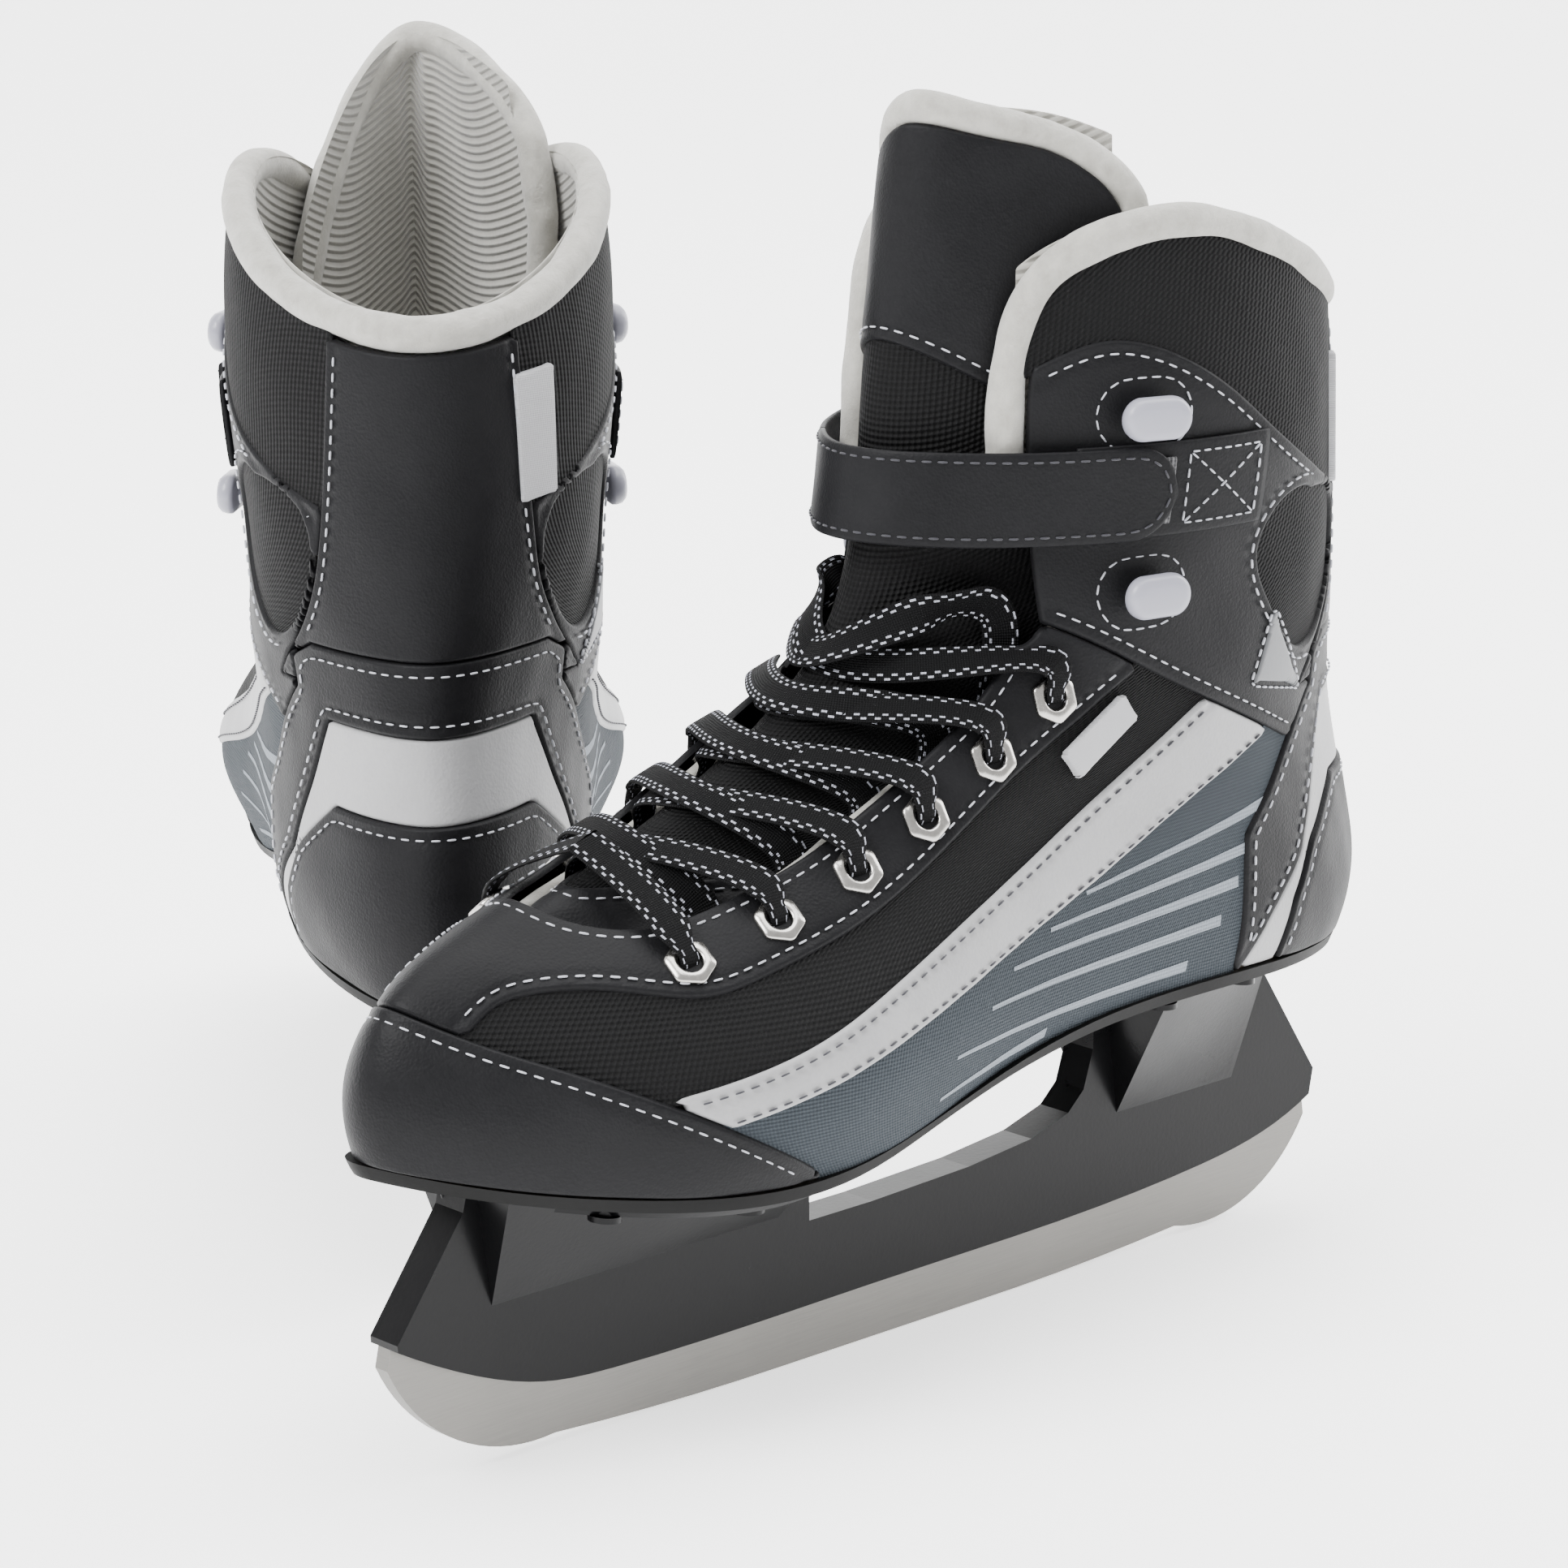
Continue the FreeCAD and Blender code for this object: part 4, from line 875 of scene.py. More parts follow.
# ---- pieces ---------------------------------------------------------------------
def make(side, name, piece, slots, body=None, stands_for=(), slot=None, indices=None, smooth=True):
    """One mesh piece of one skate, in the row frame."""
    verts, faces = piece[0], piece[1]
    if side == "right":
        faces = [f[::-1] for f in faces]
    mesh = bpy.data.meshes.new("%s_%s" % (side, name))
    mesh.from_pydata(placed(side, verts).tolist(), [], faces)
    if len(piece) > 2:
        layer = mesh.uv_layers.new(name="cloth_mm")
        loops = np.zeros(len(mesh.loops), int)
        mesh.loops.foreach_get("vertex_index", loops)
        layer.data.foreach_set("uv", piece[2][loops].astype(np.float32).ravel())
    mesh.polygons.foreach_set("use_smooth", [smooth] * len(mesh.polygons))
    for key in slots if isinstance(slots, tuple) else (slots,):
        mesh.materials.append(M[key])
    if indices is not None:
        mesh.polygons.foreach_set("material_index", indices)
    mesh.validate()
    mesh.update()
    made = bpy.data.objects.new("%s_%s" % (side, name), mesh)
    bpy.context.collection.objects.link(made)
    if body:
        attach(made, "%s_%s" % (side, body))
    for cad in stands_for:
        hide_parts("%s_%s" % (side, cad))
    return made


def both(name, piece, slots, body="skate", stands_for=(), **more):
    return [make(side, name, piece, slots, body, stands_for, **more) for side in SIDES]


def least(*fields):
    return np.minimum.reduce(fields)


outer = Skin(form(0))
cut = Cut(outer)
F = lines_of(cut)

# The upper's panels, taken in sewing order.
shape = {}
rest = least(F["sole"], F["collar"] - ROLL_DROP, -F["throat"])
for name, key in (("toe_cap", "toe"), ("heel_patch", "patch"), ("heel_panel", "panel")):
    shape[name] = least(rest, F[key])
    rest = least(rest, -F[key])
heel = least(F["counter"], F["band"])
shape["heel_band"] = least(rest, heel)
rest = least(rest, -heel)
shape["back_stay"] = least(rest, F["stay"])
rest = least(rest, -F["stay"])
shape["window_mesh"] = least(rest, F["window"])
rest = least(rest, -F["window"])
shape["collar_mesh"] = least(rest, F["cuff_top"])
rest = least(rest, -F["cuff_top"])
for name, key in (("ankle_cuffs", "cuff_seam"), ("vamp", "eyestay"), ("mesh_quarters", "stripe_top"),
                  ("silver_stripes", "stripe_bottom")):
    shape[name] = least(rest, F[key])
    rest = least(rest, -F[key])
shape["grey_quarters"] = rest

SEW = 3.0
leather_panels = (
    ("toe_cap", "black_leather", 0.3, (("toe", SEW),)),
    ("heel_patch", "black_leather", 0.3, (("patch", SEW),)),
    ("heel_panel", "silver_leather", -0.4, ()),
    ("heel_band", "black_leather", 0.0, (("panel", -SEW),)),
    ("back_stay", "black_leather", 0.1, (("stay", SEW),)),
    ("ankle_cuffs", "black_leather", 0.0, (("cuff_top", -SEW), ("cuff_seam", SEW), ("window", -SEW))),
    ("vamp", "black_leather", 0.0, (("eyestay", SEW),)),
    ("silver_stripes", "silver_leather", -0.1, (("stripe_top", -2.4), ("stripe_bottom", 1.7))),
)
for name, slot, top, seams in leather_panels:
    grooves = [(F[key] * (1 if level > 0 else -1), abs(level)) for key, level in seams]
    both(name, panel(outer, shape[name], top, 1.7, 1.0, grooves), slot, stands_for=(name,))
for name, slot in (("mesh_quarters", "black_mesh"), ("grey_quarters", "slate_fabric")):
    both(name, panel(outer, shape[name] + 1.6, -1.0, 1.2, 0.4, (), 0.6), slot, stands_for=(name,))
both("ankle_mesh", joined(panel(outer, shape["window_mesh"] + 1.6, -1.0, 1.2, 0.4),
                          panel(outer, shape["collar_mesh"] + 1.6, -0.7, 1.2, 0.4)),
     "black_mesh", stands_for=("ankle_mesh",))

# Thread.
white, black = [], []
sewn_inside = (("toe", "toe_cap"), ("patch", "heel_patch"), ("stay", "back_stay"),
               ("eyestay", "vamp"), ("cuff_seam", "ankle_cuffs"))
for key, within in sewn_inside:
    white += contour(outer, F[key], SEW, shape[within], SEW - 0.4)
sewn_outside = (("panel", "heel_band"), ("window", "ankle_cuffs"), ("cuff_top", "ankle_cuffs"),
                ("throat", "vamp"), ("throat", "ankle_cuffs"))
for key, within in sewn_outside:
    white += contour(outer, -F[key], SEW, shape[within], SEW - 0.4)
white += contour(outer, heel, SEW, shape["heel_band"], SEW - 0.4)
black += contour(outer, -F["stripe_top"], 2.4, shape["silver_stripes"], 1.5)
black += contour(outer, F["stripe_bottom"], 1.7, shape["silver_stripes"], 1.2)
both("panel_stitches", stitches(white, 0.2), "white_thread", slot="black_leather")
both("stripe_stitches", stitches(black, 0.05), "black_thread", slot="silver_leather")

ROLL_END = 187.0            # height at which the collar's fleece roll passes under the strap
EDGE_END = 138.0            # height up to which the thin edge shows round the lace opening
ROLL_FUZZ = 0.05

# Fleece lining: the inside of the shaft, the roll over its edge, and a thin roll round the throat.
inner = Skin(form(UPPER + LINING))
inner_cut = Cut(inner)
inner_far = {"collar": inner_cut.region(COLLAR, [tuple(p) for p in (
    (-FAR, graded(COLLAR)[-1][1]), (-FAR, -FAR), (FAR, -FAR), (FAR, graded(COLLAR)[0][1]))]),
    "throat": inner_cut.throat()}
inner_sole = inner_cut.region(SOLE_LINE, ((graded(SOLE_LINE)[-1][0], FAR), (graded(SOLE_LINE)[0][0], FAR)))
hidden = np.where(inner.points[..., 2] < ROLL_END, 9.0, -1.0)
inner_field = least(inner_far["collar"], -inner_far["throat"] - hidden, inner_sole - 2.0)
verts, faces, uvs = panel(inner, inner_field, 0.0, 0.2, 0.3, (), 0.0)
lining_inside = (verts, [f[::-1] for f in faces], uvs)
collar_paths = contour(outer, F["collar"], 1.6, outer.points[..., 2] - ROLL_END, 0)
roll = [tube(p, 4.0, 4.0, 3.0, fuzz=ROLL_FUZZ, seed=3) for p in collar_paths if len(p) > 40]
throat_paths = contour(outer, -F["throat"], 0.6, EDGE_END - outer.points[..., 2], 0)
edge = [tube(p, 2.0, 1.8, 5.3, around=16, fuzz=0.06, seed=4) for p in throat_paths if len(p) > 40]
both("lining_inside", lining_inside, "ribbed", slot="fleece", stands_for=("boot_lining",))
rolls = both("collar_roll", joined(*roll), "fleece")
both("throat_edge", joined(*edge), "fleece")

# Tongue.
SEAT = UPPER + LINING + TONGUE_GAP
tongue = Skin(form(SEAT, TONGUE_LIFT))
tongue_cut = Cut(tongue)


def tongue_field(skin, arch, far_arch=None):
    half = graded(arch) * (GRADE[1] / GRADE[0], 1)
    far = graded(far_arch or arch) * (-GRADE[1] / GRADE[0], 1)
    outline = curve(np.concatenate((half, far[::-1][1:])), 160)
    field = skin.distance(inside(skin.points[..., 1:], outline))
    return np.where(skin.points[..., 0] > -50 * GRADE[0], field, -30.0)


def tongue_shape(skin, where):
    under = graded(TONGUE_UNDERSIDE)
    low_edge = where.region(TONGUE_UNDERSIDE, ((under[-1][0], FAR), (under[0][0], FAR)))
    return least(tongue_field(skin, TONGUE_ARCH, TONGUE_ARCH_FAR), low_edge + 4)


tongue_all = tongue_shape(tongue, tongue_cut)
tongue_seam = tongue_field(tongue, TONGUE_SEAM)
upper_skin = least(tongue_all - ROLL_DROP + 1, -tongue_seam)
lower_skin = least(tongue_all - ROLL_DROP + 1, tongue_seam)
both("tongue_leather", panel(tongue, upper_skin, 0.2, 1.6, 1.0, [(-tongue_seam, SEW)]), "black_leather",
     stands_for=("tongue",))
mesh_edge = tongue_all - np.where(tongue.points[..., 2] < ROLL_END, -1.5, ROLL_DROP - 2.5)
both("tongue_mesh", panel(tongue, least(mesh_edge, tongue_seam + 1.5), -0.8, 1.2, 0.4), "black_mesh")
tongue_sewn = contour(tongue, -tongue_seam, SEW, upper_skin, SEW - 0.5)
both("tongue_stitches", stitches(tongue_sewn, 0.35), "white_thread", slot="black_leather")
tongue_paths = contour(tongue, tongue_all, 1.6)
tongue_roll = [tube(p, 3.6, 3.7, 3.0, fuzz=ROLL_FUZZ, seed=5) for p in tongue_paths if len(p) > 60]
tongue_rolls = both("tongue_roll", joined(*tongue_roll), "fleece", stands_for=("tongue_lining",))
back = Skin(form(SEAT + TONGUE_SKIN + TONGUE_PAD, TONGUE_LIFT))
back_cut = Cut(back)
back_field = tongue_shape(back, back_cut) - 1.0
crease = np.exp(-(back.points[..., 1] / 2.0) ** 2) * 1.6
creased = Skin(back.points + back.normals * crease[..., None])
verts, faces, uvs = panel(creased, back_field, 0.0, 0.2, 0.4, (), 0.0)
tongue_backs = both("tongue_back", (verts, [f[::-1] for f in faces], uvs), "ribbed", slot="fleece")

# ---- places on the upper ------------------------------------------------------
flat_faces = []
for i in range(ROWS - 1):
    for j in range(COLUMNS):
        low, high = i * COLUMNS, (i + 1) * COLUMNS
        k = (j + 1) % COLUMNS
        flat_faces.append((low + j, low + k, high + k, high + j))
TREE = BVHTree.FromPolygons(outer.points.reshape(-1, 3).tolist(), flat_faces)
NORMALS_FLAT = outer.normals.reshape(-1, 3)


def surface_at(origin, direction):
    """Outer surface point met from inside, its forward tangent and outward normal."""
    direction = unit(np.array(direction, float))
    start = np.array(origin, float) + direction * FAR
    hit, normal, index, distance = TREE.ray_cast(Vector(start), Vector(-direction))
    normal = unit(NORMALS_FLAT[list(flat_faces[index])].mean(0))
    fore = np.array((1.0, 0, 0)) - normal * normal[0]
    return np.array(hit), unit(fore), normal


def top_at(x, y):
    return surface_at((x * GRADE[0], y * GRADE[1], 88.0), (0, 0, 1))


def side_at(x, z, side):
    where = graded(((x, z),))[0]
    return surface_at((where[0], 0.0, where[1]), (0, side, 0))


def seated(verts, at):
    point, fore, normal = at
    across = np.cross(normal, fore)
    return point + np.asarray(verts, float) @ np.stack((fore, across, normal))


# Printed stripes on the grey cloth; the neighbouring leather covers their ends.
def printed(side, rear, front, steps=56):
    """A thin tapering strip of print on one side of the upper."""
    verts, faces = [], []
    run = unit(np.subtract(front, rear))
    for k in range(steps + 1):
        t = k / steps
        middle = np.array(rear) * (1 - t) + np.array(front) * t
        half = (PRINT_REAR * (1 - t) + PRINT_FRONT * t) / 2
        for q in (-1, -0.33, 0.33, 1):
            point, fore, normal = side_at(middle[0] - run[1] * half * q, middle[1] + run[0] * half * q, side)
            verts.append(point + normal * (ripples(point[None])[0] * 0.6 - 0.9))
    for k in range(steps):
        for q in range(3):
            a = 4 * k + q
            face = (a, a + 1, a + 5, a + 4)
            faces.append(face if side < 0 else face[::-1])
    return np.array(verts), faces


prints = joined(*[printed(side, rear, front) for side in (1, -1) for rear, front in PRINTS])
both("grey_prints", (prints[0], prints[1], prints[0][:, (0, 2)]), "stripe_print", slot="slate_fabric")

# Eyelets: hexagonal flanges with a rolled hole.
def eyelet():
    around = 48
    corner = EYELET_FLATS / 2
    rows = []
    for k in range(around):
        angle = 2 * math.pi * k / around
        local = (angle + math.pi / 6) % (math.pi / 3) - math.pi / 6
        hexagon = corner / max(math.cos(local), 0.9)
        profile = ((hexagon, 0.0), (hexagon, EYELET_FLANGE * 0.6), (hexagon - 0.3, EYELET_FLANGE),
                   (EYELET_HOLE + 1.1, EYELET_FLANGE + 0.25), (EYELET_HOLE + 0.45, EYELET_FLANGE + 0.2),
                   (EYELET_HOLE, EYELET_FLANGE - 0.4), (EYELET_HOLE, -UPPER - LINING))
        rows.append([(r * math.cos(angle), r * math.sin(angle), z) for r, z in profile])
    return np.array(rows).reshape(-1, 3), grid_faces(around, len(rows[0]))


eyelet_verts, eyelet_faces = eyelet()
seats = {side: [top_at(x, side * y + float(lean(x))) for x, y in EYELETS] for side in (1, -1)}
both("eyelet_rings", joined(*[(seated(eyelet_verts, at), eyelet_faces) for s in (1, -1) for at in seats[s]]),
     "eyelet_steel", stands_for=("eyelets",))


# Speed hooks: soft-edged moulded heads on short stems.
def pill_row(length, height, z, points=40):
    r = height / 2
    half = length / 2 - r
    row = []
    for k in range(points):
        angle = 2 * math.pi * k / points
        x = math.cos(angle) * r + (half if math.cos(angle) >= 0 else -half)
        row.append((x, math.sin(angle) * r, z))
    return row


def hook():
    head = HOOK_OFF + HOOK_HEAD
    profile = [(5.6, 5.2, -0.3), (5.4, 5.0, 0.6), (5.2, 4.9, HOOK_OFF - 0.6), (7.2, 6.0, HOOK_OFF - 0.2)]
    for inset, z in ((1.6, HOOK_OFF), (0.2, HOOK_OFF + 0.8), (0.0, HOOK_OFF + 1.9),
                     (0.6, head - 1.1), (2.2, head - 0.25), (5.0, head)):
        profile.append((HOOK_LENGTH - inset, HOOK_HEIGHT - inset, z))
    rows = [pill_row(*p) for p in profile]
    count = len(rows[0])
    verts = np.array(rows).reshape(-1, 3)
    faces = []
    for i in range(len(rows) - 1):
        for k in range(count):
            n = (k + 1) % count
            faces.append((i * count + k, i * count + n, (i + 1) * count + n, (i + 1) * count + k))
    faces.append(tuple((len(rows) - 1) * count + k for k in range(count)))
    return verts, faces


hook_verts, hook_faces = hook()
hook_seats = [side_at(x, z, side) for side in (1, -1) for x, z in HOOKS]
both("hooks", joined(*[(seated(hook_verts, at), hook_faces) for at in hook_seats]), "hook_plastic",
     stands_for=("speed_hooks",))


def on_surface(at, loop):
    """A closed loop drawn round a seat, laid on the upper."""
    point, fore, normal = at
    across = np.cross(normal, fore)
    rows = []
    for x, y in loop:
        start = point + fore * x + across * y
        hit, tangent, out = surface_at(start - normal * 30, normal)
        rows.append(np.concatenate((hit, out)))
    return np.array(rows)


def pill_loop(length, height, points=60):
    row = pill_row(length, height, 0.0, points)
    return [(x, y) for x, y, z in row] + [row[0][:2]]


hook_threads = [on_surface(at, pill_loop(HOOK_LENGTH + 7, HOOK_HEIGHT + 6.5)) for at in hook_seats]

# ---- lace ------------------------------------------------------------------------
def throat_half(x):
    for (xa, ya), (xb, yb) in zip(THROAT, THROAT[1:]):
        if xb <= x <= xa:
            return ya + (yb - ya) * (xa - x) / (xa - xb)
    return THROAT[-1][1]


CROSSING_RISE = (14, 16, 19, 24, 30)


def lace_half(start):
    under = UPPER + LINING + TONGUE_GAP / 2
    flat, folded = (LACE_WIDTH, LACE_THICK), (LACE_WIDTH * 0.5, LACE_THICK * 1.5)
    bar_x = EYELETS[0][0]
    point, fore, normal = top_at(bar_x, float(lean(bar_x)))
    stations = [(point + normal * 2.2, fore, flat)]
    side = start
    for n in range(len(EYELETS)):
        point, fore, normal = seats[side][n]
        inward = np.cross(fore, normal)
        inward = inward if inward[1] * side < 0 else -inward
        high = normal * (EYELET_FLANGE + LACE_THICK)
        stations.append((point + high * 1.3 + inward * 7.5, fore, flat))
        stations.append((point + high + inward * 2.6, fore, folded))
        stations.append((point + normal * 0.4, fore, folded))
        stations.append((point - normal * (under - 1.2), fore, folded))
        if n + 1 == len(EYELETS):
            break
        x_next = (EYELETS[n][0] + EYELETS[n + 1][0]) / 2
        edge_y = throat_half(x_next)
        point, fore, normal = top_at(x_next, side * (edge_y + 1.0) + float(lean(x_next)))
        stations.append((point - normal * under, fore, flat))
        point, fore, normal = top_at(x_next, side * (edge_y - 5.0) + float(lean(x_next)))
        stations.append((point - normal * (under - 3.4), fore, flat))
        x = EYELETS[n][0] * 0.35 + EYELETS[n + 1][0] * 0.65
        base = (x * GRADE[0], float(lean(x)) * GRADE[1], 100.0)
        point, fore, normal = surface_at(base, (CROSSING_RISE[n] / 60.0, 0, 1))
        lift = 0.9 if side > 0 else -0.9
        stations.append((point + normal * (lift - 2.4), fore, flat))
        side = -side
    return stations


def ribbon(stations, step=1.2):
    places = np.array([np.concatenate((p, w, s)) for p, w, s in stations])
    marks = chord_marks(places[:, :3])
    fine = spline_at(marks, places, np.linspace(0, 1, 1500))
    sizes = np.stack([np.interp(np.linspace(0, 1, 1500), marks, places[:, k]) for k in (6, 7)], 1)
    fine[:, 6:8] = sizes
    path = resampled(fine, step)
    run = unit(np.gradient(path[:, :3], axis=0))
    across = unit(path[:, 3:6] - run * (path[:, 3:6] * run).sum(1)[:, None])
    deep = np.cross(run, across)
    length = np.arange(len(path)) * step
    around = 14
    verts, uvs = [], []
    for k in range(around):
        angle = 2 * math.pi * k / around
        c, s = math.cos(angle), math.sin(angle)
        wide = math.copysign(abs(c) ** 0.45, c)
        high = math.copysign(abs(s) ** 0.75, s)
        verts.append(path[:, :3] + across * (wide * path[:, 6] / 2)[:, None]
                     + deep * (high * path[:, 7] / 2)[:, None])
        uvs.append(np.stack((length, np.full(len(path), wide * LACE_WIDTH / 2)), 1))
    return np.concatenate(verts), grid_faces(around, len(path), False), np.concatenate(uvs)


both("lace_ribbon", joined(*[ribbon(lace_half(s)) for s in (1, -1)]), "lace_cord", stands_for=("lace",))

# ---- strap --------------------------------------------------------------------------
STRAP_Z = graded(((0, STRAP_MID),))[0][1]


def level_ring(z, offset):
    """Places and normals round the shaft at one height, moved outward by offset."""
    points, normals = outer.points, outer.normals
    rows = []
    for j in range(COLUMNS):
        heights = points[:, j, 2]
        k = int(np.searchsorted(heights, z))
        t = (z - heights[k - 1]) / (heights[k] - heights[k - 1])
        place = points[k - 1, j] * (1 - t) + points[k, j] * t
        normal = unit(normals[k - 1, j] * (1 - t) + normals[k, j] * t)
        rows.append(np.concatenate((place + normal * offset, normal)))
    return np.array(rows)


def band(first, last, offset, thick, height, tip=False):
    """A length of webbing at strap height; first and last are (x, side) of its ends."""
    bands = []
    levels = []
    for z in np.linspace(-1, 1, 5):
        levels.append(level_ring(STRAP_Z + z * height / 2, offset))
    middle = levels[2]
    half = COLUMNS // 2
    order = list(range(half, COLUMNS)) + list(range(0, half))

    def position(x, side):
        best = None
        for k, j in enumerate(order):
            if (middle[j][1] > 0) == (side > 0) and (best is None or abs(middle[j][0] - x) < best[0]):
                best = (abs(middle[j][0] - x), k)
        return best[1]

    a, b = position(*first), position(*last)
    path = np.array([np.concatenate([level[order[k]] for level in levels]) for k in range(a, b + 1)])
    path = np.concatenate((path[:, 12:18], path), 1)
    path = resampled(path, 1.5)
    rows = len(path)
    run = np.concatenate(((0.0,), np.cumsum(np.linalg.norm(np.diff(path[:, :3], axis=0), axis=1))))
    radius = height / 2
    left_over = run[-1] - run
    shrink = np.ones(rows)
    if tip:
        shrink = np.sqrt(np.clip(1 - (1 - np.clip(left_over / radius, 0, 1)) ** 2, 0.0004, 1))
    around = 36
    verts, uvs = [], []
    for k in range(around):
        angle = 2 * math.pi * k / around
        c, s = math.cos(angle), math.sin(angle)
        up = math.copysign(abs(s) ** 0.28, s) * shrink
        out = math.copysign(min(abs(c) ** 0.5, 1.0), c)
        at = (up + 1) * 2
        low_level = np.clip(np.floor(at).astype(int), 0, 3)
        t = (at - low_level)[:, None]
        stack = path[:, 6:].reshape(rows, 5, 6)
        value = stack[np.arange(rows), low_level] * (1 - t) + stack[np.arange(rows), low_level + 1] * t
        verts.append(value[:, :3] + unit(value[:, 3:6]) * (out * thick / 2))
        uvs.append(np.stack((run, up * height / 2), 1))
    faces = grid_faces(around, rows) + end_faces(around, rows)
    return (np.concatenate(verts), faces, np.concatenate(uvs)), path


middle_offset = STRAP_INNER + STRAP / 2
first_half, first_path = band((STRAP_ROOT * GRADE[0], -1), (-4.0, -1), middle_offset, STRAP, STRAP_HEIGHT)
second_half, second_path = band((-4.0, -1), (STRAP_TIP * GRADE[0], 1), middle_offset, STRAP, STRAP_HEIGHT, True)
root_piece, _ = band((TAB_REAR * GRADE[0], -1), (STRAP_ROOT * GRADE[0], -1), TAB / 2, TAB, STRAP_HEIGHT)
tab_piece, tab_path = band((TAB_FRONT * GRADE[0], 1), (TAB_REAR * GRADE[0], 1), TAB / 2, TAB, STRAP_HEIGHT)
patch_piece, _ = band((-24.0, 1), (-48.0, 1), TAB + STRAP_GAP + PATCH / 2, PATCH, STRAP_HEIGHT - 6)
both("strap_root_tab", root_piece, "black_leather", stands_for=("strap_root",))
both("strap_tab_pad", tab_piece, "black_leather", stands_for=("strap_tab",))


def band_thread(path, inset, thick, tip=False, ends=(0.0, 0.0)):
    """Sewn lines along a band, near its two long edges and round its tip."""
    stack = path[:, 6:].reshape(len(path), 5, 6)
    run = np.concatenate(((0.0,), np.cumsum(np.linalg.norm(np.diff(path[:, :3], axis=0), axis=1))))
    radius = STRAP_HEIGHT / 2

    def at(k, level):
        spot = (level + 1) * 2
        low_level = int(min(max(math.floor(spot), 0), 3))
        t = spot - low_level
        value = stack[k, low_level] * (1 - t) + stack[k, low_level + 1] * t
        return np.concatenate((value[:3] + unit(value[3:6]) * thick / 2, unit(value[3:6])))

    edge_level = (radius - inset) / radius
    keep = [k for k in range(len(path)) if ends[0] <= run[k] <= run[-1] - ends[1] - (radius if tip else 0)]
    up = [at(k, edge_level) for k in keep]
    down = [at(k, -edge_level) for k in keep]
    if not tip:
        return [np.array(up), np.array(down)]
    turn = []
    for angle in np.linspace(math.pi / 2, -math.pi / 2, 24)[1:-1]:
        where = run[-1] - radius + (radius - inset) * math.cos(angle)
        k = int(np.argmin(abs(run - where)))
        turn.append(at(k, edge_level * math.sin(angle)))
    return [np.array(up + turn + down[::-1])]


first_thread = stitches(band_thread(first_path, 2.0, STRAP), 0.1, 2.2, 1.2, 0.5)
second_thread = stitches(band_thread(second_path, 2.0, STRAP, True), 0.1, 2.2, 1.2, 0.5)
tab_stack = tab_path[:, 6:].reshape(len(tab_path), 5, 6)


def tab_spot(q, level):
    """A place on the sewn tab: q from its front end to its rear end, level from -1 to 1."""
    k = q * (len(tab_path) - 1)
    i = min(int(k), len(tab_path) - 2)
    spot = (level + 1) * 2
    low_level = int(min(max(math.floor(spot), 0), 3))
    t = spot - low_level
    rows = [tab_stack[i + d, low_level] * (1 - t) + tab_stack[i + d, low_level + 1] * t for d in (0, 1)]
    value = rows[0] * (1 - (k - i)) + rows[1] * (k - i)
    return np.concatenate((value[:3] + unit(value[3:6]) * TAB / 2, unit(value[3:6])))


def tab_line(a, b, count=30):
    a, b = np.array(a), np.array(b)
    return np.array([tab_spot(*(a + (b - a) * t)) for t in np.linspace(0, 1, count)])


BOX = ((0.54, 0.76), (0.94, 0.76), (0.94, -0.76), (0.54, -0.76))
tab_lines = [tab_line(a, b) for a, b in zip(BOX, BOX[1:] + BOX[:1])] + [tab_line(BOX[0], BOX[2]),
                                                                       tab_line(BOX[1], BOX[3])]
both("tab_stitches", stitches(tab_lines, 0.12, 2.0, 1.0), "white_thread", slot="black_leather")
both("hook_stitches", stitches(hook_threads, 0.15, 2.2, 1.1), "white_thread", slot="black_leather")

for side in SIDES:
    for name, piece, slots, slot in (("strap_front_band", first_half, "black_leather", "black_leather"),
                                     ("strap_front_stitches", first_thread, "black_thread", "black_leather")):
        made = make(side, name, piece, slots, slot=slot)
        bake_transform(made)
        if name == "strap_front_band":
            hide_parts(side + "_strap_front")
    for name, piece, slots, slot in (("strap_end_band", second_half, "black_leather", "black_leather"),
                                     ("strap_end_stitches", second_thread, "black_thread", "black_leather")):
        made = make(side, name, piece, slots, slot=slot)
        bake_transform(made)
        if name == "strap_end_band":
            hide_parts(side + "_strap_end")
    make(side, "strap_patch", patch_piece, "footbed_foam", "strap_end", ("strap_hook_patch",),
         slot="hook_and_loop")

# ---- labels ---------------------------------------------------------------------------
outer_half = outer.points[..., 1] - 1.0


def side_field(points, smooth=False):
    return least(outer.distance(inside(cut.side, graded(points))), outer_half)


labels = joined(panel(outer, side_field(SIDE_LABEL), 0.7, 0.9, 0.35, (), 0.2),
                panel(outer, side_field(REAR_LABEL), 0.9, 0.9, 0.35, (), 0.2))
both("label_tags", labels, "label_cloth", stands_for=("sewn_labels",))
badge_field = side_field(BADGE)
both("badge_plate", panel(outer, badge_field - 1.6, 0.7, 0.7, 0.6, (), 0.2), "badge_vinyl",
     stands_for=("ankle_badge",))
both("badge_stitches", stitches(contour(outer, badge_field, 0.4), 0.3, 1.8, 0.9, 0.55), "white_thread",
     slot="badge_vinyl")

# ---- carried-over CAD nodes ------------------------------------------------------------
CARRIED = {"blade": "blade_steel", "blade_holder": "holder_plastic", "holder_rivets": "holder_plastic",
           "outsole": "sole_rubber", "insole_board": "board_fibre", "footbed": "footbed_foam"}
for side in SIDES:
    for name, key in CARRIED.items():
        carried = frame["nodes"]["%s_%s" % (side, name)]
        for slot_index in range(len(carried.material_slots)):
            carried.material_slots[slot_index].link = "OBJECT"
            carried.material_slots[slot_index].material = M[key]

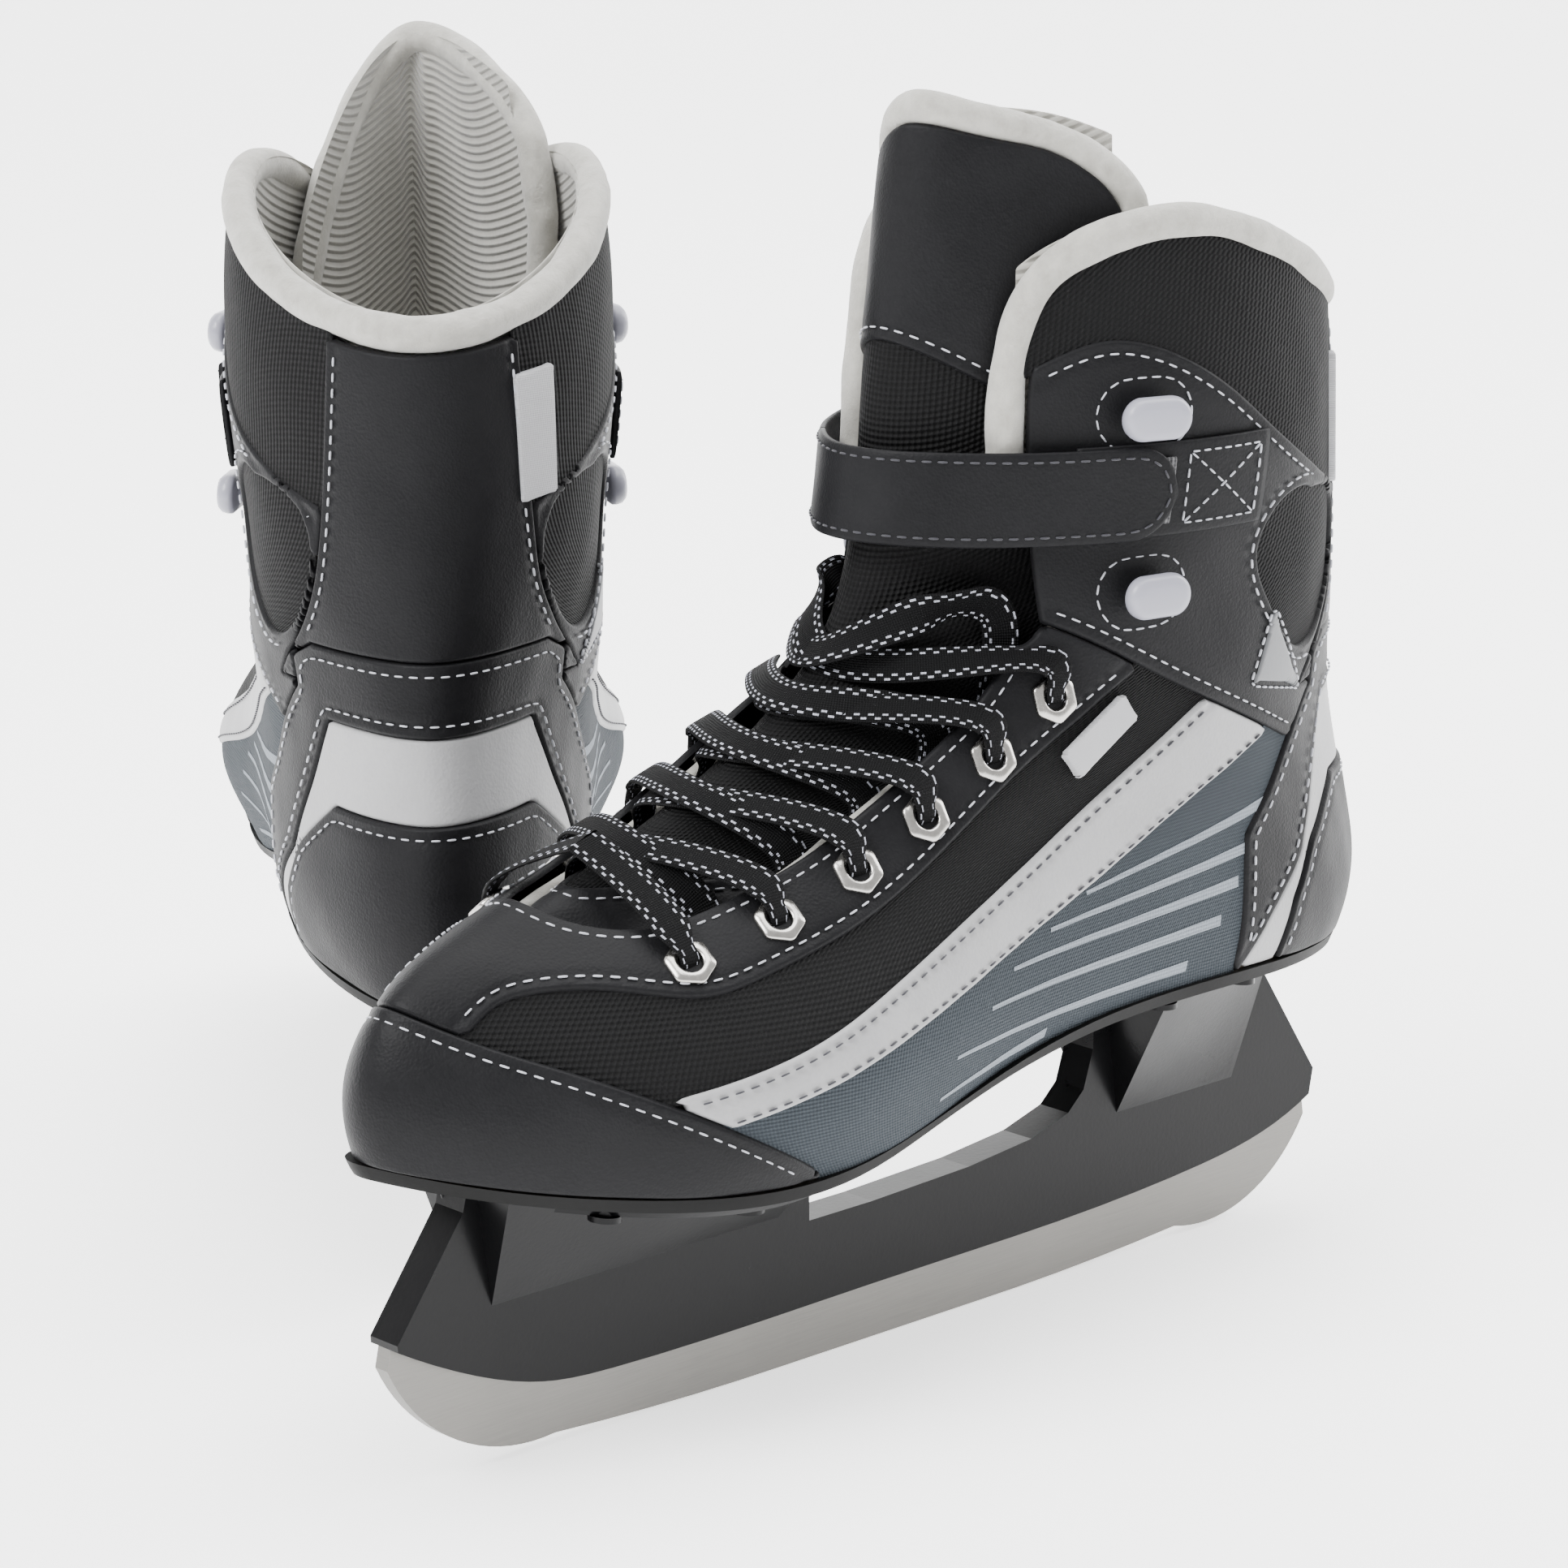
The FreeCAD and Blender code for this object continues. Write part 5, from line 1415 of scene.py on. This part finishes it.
# ---- stage, light and camera ----------------------------------------------------------
FLOOR_GLOW = 1.45
paint = Paint("pale_floor", (0.93, 0.93, 0.93), 0.85, specular=0.1)
paper = paint.node("ShaderNodeTexNoise", Scale=6.0, Detail=2.0)
paint.link(paint.place(), paper.inputs["Vector"])
tone = paint.mix(paper.outputs[0], (0.92, 0.92, 0.92), (0.94, 0.94, 0.94))
paint.link(tone, paint.shader.inputs["Base Color"])
paint.shader.inputs["Emission Color"].default_value = (1.0, 1.0, 1.0, 1)
paint.shader.inputs["Emission Strength"].default_value = FLOOR_GLOW
reach, bend, rise = 1.6, 0.9, 3.0
profile = [(-6.0, 0.0), (reach, 0.0)]
profile += [(reach + bend * math.sin(a), bend * (1 - math.cos(a))) for a in np.linspace(0, math.pi / 2, 14)[1:]]
profile.append((reach + bend, rise))
CAMERA_AZIMUTH = math.radians(-42.526)
CAMERA_ELEVATION = math.radians(14.339)
CAMERA_ROLL = math.radians(-0.451)
CAMERA_DISTANCE, CAMERA_LENS, SENSOR = 1.11012, 118.71, 36.0
AIM = Vector((-0.0264, 0.0, 0.13132))
away = Vector((-math.sin(CAMERA_AZIMUTH), math.cos(CAMERA_AZIMUTH), 0))
wide = Vector((math.cos(CAMERA_AZIMUTH), math.sin(CAMERA_AZIMUTH), 0))
floor_mesh = bpy.data.meshes.new("floor")
sweep = [tuple(away * d + wide * w + Vector((0, 0, h - 0.0004))) for d, h in profile for w in (-7.0, 7.0)]
floor_mesh.from_pydata(sweep, [], [(2 * i, 2 * i + 1, 2 * i + 3, 2 * i + 2) for i in range(len(profile) - 1)])
floor_mesh.polygons.foreach_set("use_smooth", [True] * len(floor_mesh.polygons))
floor_mesh.materials.append(paint.mat)
floor = bpy.data.objects.new("floor", floor_mesh)
bpy.context.collection.objects.link(floor)

world = bpy.data.worlds.new("studio")
world.use_nodes = True
world.node_tree.nodes["Background"].inputs["Color"].default_value = (1.0, 1.0, 1.0, 1)
world.node_tree.nodes["Background"].inputs["Strength"].default_value = 0.9
bpy.context.scene.world = world


def softbox(name, place, size, power):
    data = bpy.data.lights.new(name, "AREA")
    data.shape, data.size, data.size_y, data.energy = "RECTANGLE", size[0], size[1], power
    light = bpy.data.objects.new(name, data)
    light.location = place
    light.rotation_euler = (Vector((0, 0.05, 0.12)) - Vector(place)).to_track_quat("-Z", "Y").to_euler()
    bpy.context.collection.objects.link(light)


softbox("key", tuple(-away * 1.2 - wide * 1.5 + Vector((0, 0, 2.0))), (1.4, 1.4), 110)
softbox("top", tuple(away * 0.3 + wide * 0.2 + Vector((0, 0, 2.4))), (2.0, 2.0), 90)
softbox("rim", tuple(away * 1.0 + wide * 1.8 + Vector((0, 0, 1.2))), (1.0, 1.6), 45)

a, e = CAMERA_AZIMUTH, CAMERA_ELEVATION
back_dir = Vector((math.sin(a) * math.cos(e), -math.cos(a) * math.cos(e), math.sin(e)))
right_dir = Vector((math.cos(a), math.sin(a), 0))
up_dir = back_dir.cross(right_dir)
c, s = math.cos(CAMERA_ROLL), math.sin(CAMERA_ROLL)
right_dir, up_dir = right_dir * c + up_dir * s, up_dir * c - right_dir * s
camera_data = bpy.data.cameras.new("camera")
camera_data.sensor_width, camera_data.lens = SENSOR, CAMERA_LENS
camera = bpy.data.objects.new("camera", camera_data)
turn = Matrix((right_dir, up_dir, back_dir)).transposed().to_4x4()
camera.matrix_world = Matrix.Translation(AIM + back_dir * CAMERA_DISTANCE) @ turn
bpy.context.collection.objects.link(camera)
bpy.context.scene.camera = camera
